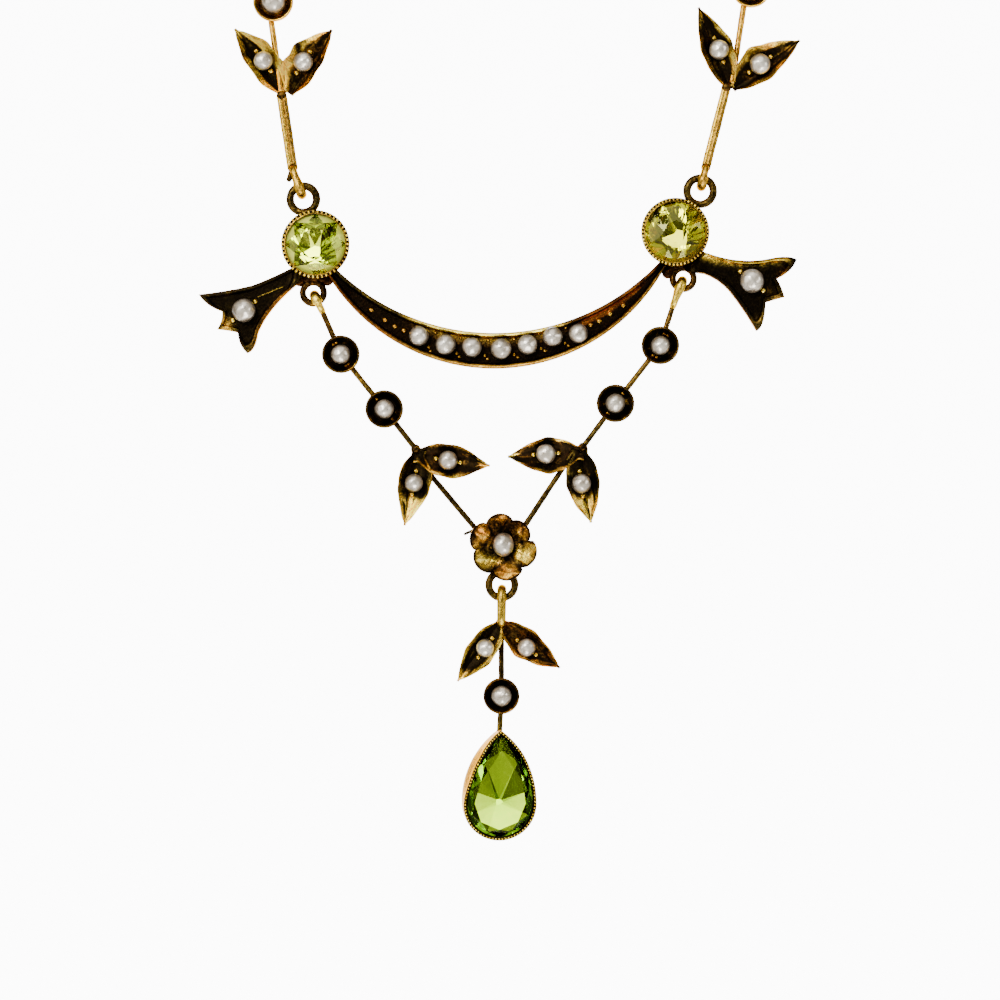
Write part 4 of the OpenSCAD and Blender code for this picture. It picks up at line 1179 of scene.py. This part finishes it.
SIDE_LEFT = [(-18.68, 29.88), (-19.67, 36.45), (-19.67, 36.6), (-20.82, 44.6)]
SIDE_RIGHT = [(18.54, 29.97), (20.39, 37.17), (20.9, 37.6), (22.15, 45.8)]
LEAVES_SIDE_LEFT = [(-19.5, 36.5, -23.9, 42.4, 1.1, 1.8, 0.3), (-18.85, 36.5, -15.1, 42.3, 2.2, 0.95, 0.3)]
LEAVES_SIDE_RIGHT = [(20.7, 37.0, 17.85, 44.35, 1.2, 1.6, 0.3), (21.0, 37.0, 27.0, 41.35, 1.95, 1.15, 0.3)]
PEARLS_SIDE_LEFT = [(-21.3, 39.5, 1.85), (-17.7, 39.4, 1.9), (-20.39, 44.82, 2.3)]
PEARLS_SIDE_RIGHT = [(19.7, 40.5, 1.9), (23.4, 39.2, 2.0), (22.59, 46.08, 2.3)]
CHAIN_ROUTE = [
    (-14, 0, -0.5), (-30, -4, -3), (-46, -17, -8), (-56, -40, -16), (-56, -64, -25), (-46, -87, -34),
    (-31, -105.5, -44),
]
LINKS = 60
LINK_WIRE = 0.46
LINK_WIDTH = 2.0

# How far a link reaches into the next, how far the route runs on past its ends to shape the curve,
# and how far in front of the nape the neck's middle lies.
OVERLAP = 0.66
LEAD = 7
NECK_MIDDLE = 56

# The top eye's and the clasp ring's width and wire width, and where the eye lies from its cup.
TOP_EYE = (2.5, 0.5)
TOP_EYE_REACH = 3.95
TOP_EYE_DEPTH = 0.3
BARREL_HALF = 4.5
BARREL_R = 1.5
CLASP_RING = (2.4, 0.5)
FIRST_ROLL = math.radians(45)


def turn_of(way, roll, p):
    """Directions along, across and over a link, rolled about its run, in world axes."""
    t = unit(way)
    out = unit((p[0], p[1] + NECK_MIDDLE, 0))
    n = unit(np.cross(t, out))
    b = np.cross(t, n)
    u = n * math.cos(roll) + b * math.sin(roll)
    return t, u, np.cross(t, u)


def loop(half_length, half_width, steps=8):
    """The centreline of a link: two half rounds and two straight runs."""
    bend = np.linspace(-math.pi / 2, math.pi / 2, steps)
    run = half_length - half_width
    right = [(run + half_width * math.cos(t), half_width * math.sin(t)) for t in bend]
    left = [(-x, -y) for x, y in right]
    upper = [(run * s, half_width) for s in (0.5, 0, -0.5)]
    lower = [(-x, -y) for x, y in upper]
    return right + upper + left + lower


def link_at(build, centre, turn, line, radius, sides=9, **finish):
    t, u, w = turn
    world = np.array([centre + t * x + u * y for x, y in line])
    up = drawn(w) - drawn(np.zeros(3))
    build.tube(drawn(world), radius, up=up, closed=True, sides=sides, **finish)


def top_eye(joint, cup_at):
    """The middle of the eye above a side link's cup, and the way up to it, in world axes."""
    joint, cup_at = (np.array([p[0], TOP_EYE_DEPTH, p[1]]) for p in (joint, cup_at))
    up = towards(joint, cup_at)
    return cup_at + TOP_EYE_REACH * up, up


def side_link(side, ring_at, points, rows, seeds, gap, looks):
    """An eye, a doubled wire stem, a pair of leaves, a cup and the eye that carries the chain."""
    build = Build()
    low, joint, stem_from, cup_at = points[0], points[1], points[2], seeds[2][:2]
    build.eye(ring_wire(ring_at, TOP_RING, low), low, 0.75, 0.45, 0.3, bright=0.75, copper=0.3)
    build.solder(low, 0.9, 0.45, 0.2)
    build.solder(joint, 0.95, 0.3, 0.3)
    across = left_of(towards(low, joint)) * gap / 2
    for shift, bright in ((across, 0.8), (-across, 0.6)):
        build.wire(low + shift, joint + shift, 0.265, bright=bright, copper=0.25)
    build.wire(stem_from, points[3], 0.28, 0.1, 0.1, bright=0.8, copper=0.5)
    leaf_pair(build, rows, seeds[:2], looks)
    if side == "left":
        build.wire(*(spot(*p) for p in CUT_WIRE), 0.25, bright=0.3, copper=0.2)
    cup(build, cup_at, LINK_CUP, 0.45, 0.4)
    eye_at, up = top_eye(joint, cup_at)
    r = (TOP_EYE[0] - TOP_EYE[1]) / 2
    hook = eye_at - up * r
    build.wire(cup_at, (hook[0], hook[2]), 0.275, 0.1, 0.1, bright=0.6, copper=0.1)
    turn = turn_of(-up, FIRST_ROLL + LINKS * math.pi / 2, (cup_at[0], TOP_EYE_DEPTH))
    line = [(r * math.cos(t), r * math.sin(t)) for t in full_turn(40)]
    link_at(build, eye_at - (0, REACH, FALL), turn, line, 0.25, 14, bright=0.55, copper=0.1)
    name = f"{side}_link"
    build.piece(name, METAL, "necklace", [f"side_link_{side}"])
    floors = [LEAF_FLOOR, LEAF_FLOOR, CUP_FLOOR]
    pearls(name + "_pearls", seeds, "necklace", numbered(f"pearl_side_{side}", 3), floors)


def spline(points, steps=8):
    """A smooth curve through all the points but the first and last."""
    out = []
    for i in range(1, len(points) - 2):
        a, b, c, d = points[i - 1:i + 3]
        for t in np.arange(steps) / steps:
            out.append(b + (c - a) * t / 2 + (2 * a - 5 * b + 4 * c - d) * t ** 2 / 2
                       + (3 * b - a - 3 * c + d) * t ** 3 / 2)
    out.append(points[-2])
    return np.array(out)


def chain(side, joint, cup_at):
    """One side's links, from the clasp's ring round the neck to the side link's top eye."""
    sign = 1 if side == "left" else -1
    eye, up = top_eye(joint, cup_at)
    eye = eye - (0, REACH, FALL)
    hook = (TOP_EYE[0] - TOP_EYE[1] - OVERLAP) / 2
    start = BARREL_HALF + 0.8 + (CLASP_RING[0] - CLASP_RING[1] - OVERLAP) / 2
    route = [(-sign * (start - LEAD), 0, 0), (-sign * start, 0, 0)]
    route += [(sign * x, y, z) for x, y, z in CHAIN_ROUTE]
    route = [np.array(p, float) for p in route]
    route += [eye + up * (hook + LEAD), eye + up * hook, eye - up * LEAD]
    curve = spline(route)
    stops = evenly(curve, LINKS)
    line = loop((path_run(curve)[-1] / LINKS + OVERLAP) / 2, (LINK_WIDTH - LINK_WIRE) / 2)
    build = Build()
    for i, (a, b) in enumerate(zip(stops, stops[1:])):
        turn = turn_of(b - a, FIRST_ROLL + i * math.pi / 2, a)
        shade = 0.72 + 0.12 * wobble((i * 0.7, sign, 2))
        link_at(build, (a + b) / 2, turn, line, LINK_WIRE / 2, bright=shade, copper=0.1)
    build.piece(f"{side}_chain", CHAIN_METAL, "necklace", [f"chain_{side}"], ripple=FINE_RIPPLE)


def clasp():
    """A plain barrel with a waist line at its middle and a fixed ring at each end."""
    build = Build()
    h, r = BARREL_HALF, BARREL_R
    half = [(r - 0.15, 0.2), (r - 0.02, 0.3), (r, 0.36), (r, h - 0.75), (r - 0.04, h - 0.62),
            (r * 0.6, h - 0.05), (r * 0.5, h), (0.01, h)]
    profile = [(radius, -x) for radius, x in reversed(half)] + half
    dense = []
    for (ra, xa), (rb, xb) in zip(profile, profile[1:]):
        steps = max(1, int(abs(xb - xa) / 0.25))
        dense += [(ra + (rb - ra) * k / steps, xa + (xb - xa) * k / steps) for k in range(steps)]
    dense.append(profile[-1])
    turn = full_turn(56)
    world = np.array([[(x, rad * math.cos(t), rad * math.sin(t)) for t in turn] for rad, x in dense])
    tone = [0.45 if rad < r - 0.1 and abs(x) < 0.3 else 0.78 for rad, x in dense]
    build.grid(drawn(world), True, False, tone, 0.05, ends=True)
    ring_r = (CLASP_RING[0] - CLASP_RING[1]) / 2
    line = [(ring_r * math.cos(a), ring_r * math.sin(a)) for a in full_turn(40)]
    along = np.array([1.0, 0, 0])
    for side in (-1, 1):
        across = np.array([0, math.cos(side * FIRST_ROLL), math.sin(side * FIRST_ROLL)])
        turn = (along, across, np.cross(along, across))
        link_at(build, along * side * (h + 0.8), turn, line, CLASP_RING[1] / 2, 14, bright=0.7)
    build.piece("barrel_clasp", CHAIN_METAL, "necklace", ["clasp"], ripple=FINE_RIPPLE)


# The studio, in metres

AIM = Vector((0, -REACH * MM, -0.1))
CAMERA_OFF = 0.4
FLOOR_Z = -0.9
FLOOR_FRONT = -6.0
CURVE_FROM = 1.1
CURVE_R = 0.3
WALL_TOP = 2.0
SWEEP_HALF = 5.0
LENS = 160
SKY_STRENGTH = 0.12

# The wall's glow: a distance from the necklace's line in millimetres, and the strength there. It
# fades out over WALL_DEPTH, on the way from the wall to the floor.
GLOW_NEAR = (426.0, 11.0)
GLOW_FAR = (1193.0, 0.8)
WALL_DEPTH = (1150.0, 1390.0)

# Each soft lamp's place, size and power.
LAMPS = [
    ((-0.15, -0.46, 0.08), 0.15, 1.5), ((0.0, -0.34, 0.3), 0.45, 1.3), ((0.36, -0.3, -0.04), 0.14, 0.4),
    ((-0.34, -0.36, 0.0), 0.3, 0.9), ((0.03, -0.27, -0.35), 0.14, 0.7),
]


def sweep_finish():
    """Pale paper. Its wall glows, most of all behind the necklace, and the stones take their light
    from it."""
    s = Shader("pale sweep")
    split = s.node("SeparateXYZ", {0: s.place})
    high = s.add(split.outputs["Z"], FALL)
    off = s.math("SQRT", s.add(s.math("POWER", split.outputs["X"], 2), s.math("POWER", high, 2)))
    glow = s.span(off, GLOW_NEAR[0], GLOW_FAR[0], GLOW_NEAR[1], GLOW_FAR[1])
    on_wall = s.span(split.outputs["Y"], *WALL_DEPTH, 0.0, 1.0)
    return s.finish({
        "Base Color": s.ramp(s.noise(0.02, 2), [(0.0, (0.86, 0.86, 0.86)), (1.0, (0.9, 0.9, 0.9))]),
        "Roughness": 0.9,
        "Emission Color": (1, 1, 1, 1),
        "Emission Strength": s.math("MAXIMUM", s.times(glow, on_wall), 0.5),
    })


def sweep():
    """A pale floor that curves up into a wall behind the necklace."""
    bend = np.radians(np.linspace(6, 84, 14))
    line = [(FLOOR_FRONT, FLOOR_Z), (CURVE_FROM, FLOOR_Z)]
    line += [(CURVE_FROM + CURVE_R * math.sin(t), FLOOR_Z + CURVE_R - CURVE_R * math.cos(t)) for t in bend]
    line += [(CURVE_FROM + CURVE_R, FLOOR_Z + CURVE_R), (CURVE_FROM + CURVE_R, WALL_TOP)]
    points = [(x, y, z) for x in (-SWEEP_HALF, SWEEP_HALF) for y, z in line]
    n = len(line)
    faces = [(k, k + 1, n + k + 1, n + k) for k in range(n - 1)]
    mesh = bpy.data.meshes.new("sweep")
    mesh.from_pydata(points, [], faces)
    mesh.polygons.foreach_set("use_smooth", [True] * len(faces))
    mesh.materials.append(sweep_finish())
    show("sweep", mesh)


def lamps():
    for i, (place, size, power) in enumerate(LAMPS):
        data = bpy.data.lights.new(f"soft_{i}", "AREA")
        data.size = size
        data.energy = power
        lamp = show(f"soft_{i}", data)
        lamp.location = place
        lamp.rotation_euler = (AIM - Vector(place)).to_track_quat("-Z", "Y").to_euler()
    world = bpy.data.worlds.new("room")
    world.use_nodes = True
    backdrop = world.node_tree.nodes["Background"].inputs
    backdrop["Color"].default_value = (0.9, 0.93, 1.0, 1)
    backdrop["Strength"].default_value = SKY_STRENGTH
    bpy.context.scene.world = world


def camera():
    lens = bpy.data.cameras.new("camera")
    lens.lens = LENS
    lens.clip_start = 0.01
    view = show("camera", lens)
    view.location = (0, -REACH * MM - CAMERA_OFF, -FALL * MM)
    view.rotation_euler = (math.pi / 2, 0, 0)
    bpy.context.scene.camera = view


def side_links():
    broad = {"rim": 1.2, "tip": 0.6, "copper": 0.1, "base_width": 0.28, "band": 0.45}
    slim = {"rim": 0.72, "copper": 0.2, "tip": 0.15, "base_width": 0.28, "band": 0.56}
    warm = {"rim": 0.8, "tip": 0.05, "copper": 0.4, "base_width": 0.28, "band": 0.5, "trough": 0.26}
    side_link("left", TOP_RINGS[0], SIDE_LEFT, LEAVES_SIDE_LEFT, PEARLS_SIDE_LEFT, 0.4, [broad, warm])
    side_link("right", TOP_RINGS[1], SIDE_RIGHT, LEAVES_SIDE_RIGHT, PEARLS_SIDE_RIGHT, 0.3, [slim, slim])


swag()
stones()
garland()
drop()
side_links()
chain("left", SIDE_LEFT[1], PEARLS_SIDE_LEFT[2])
chain("right", SIDE_RIGHT[1], PEARLS_SIDE_RIGHT[2])
clasp()
sweep()
lamps()
camera()
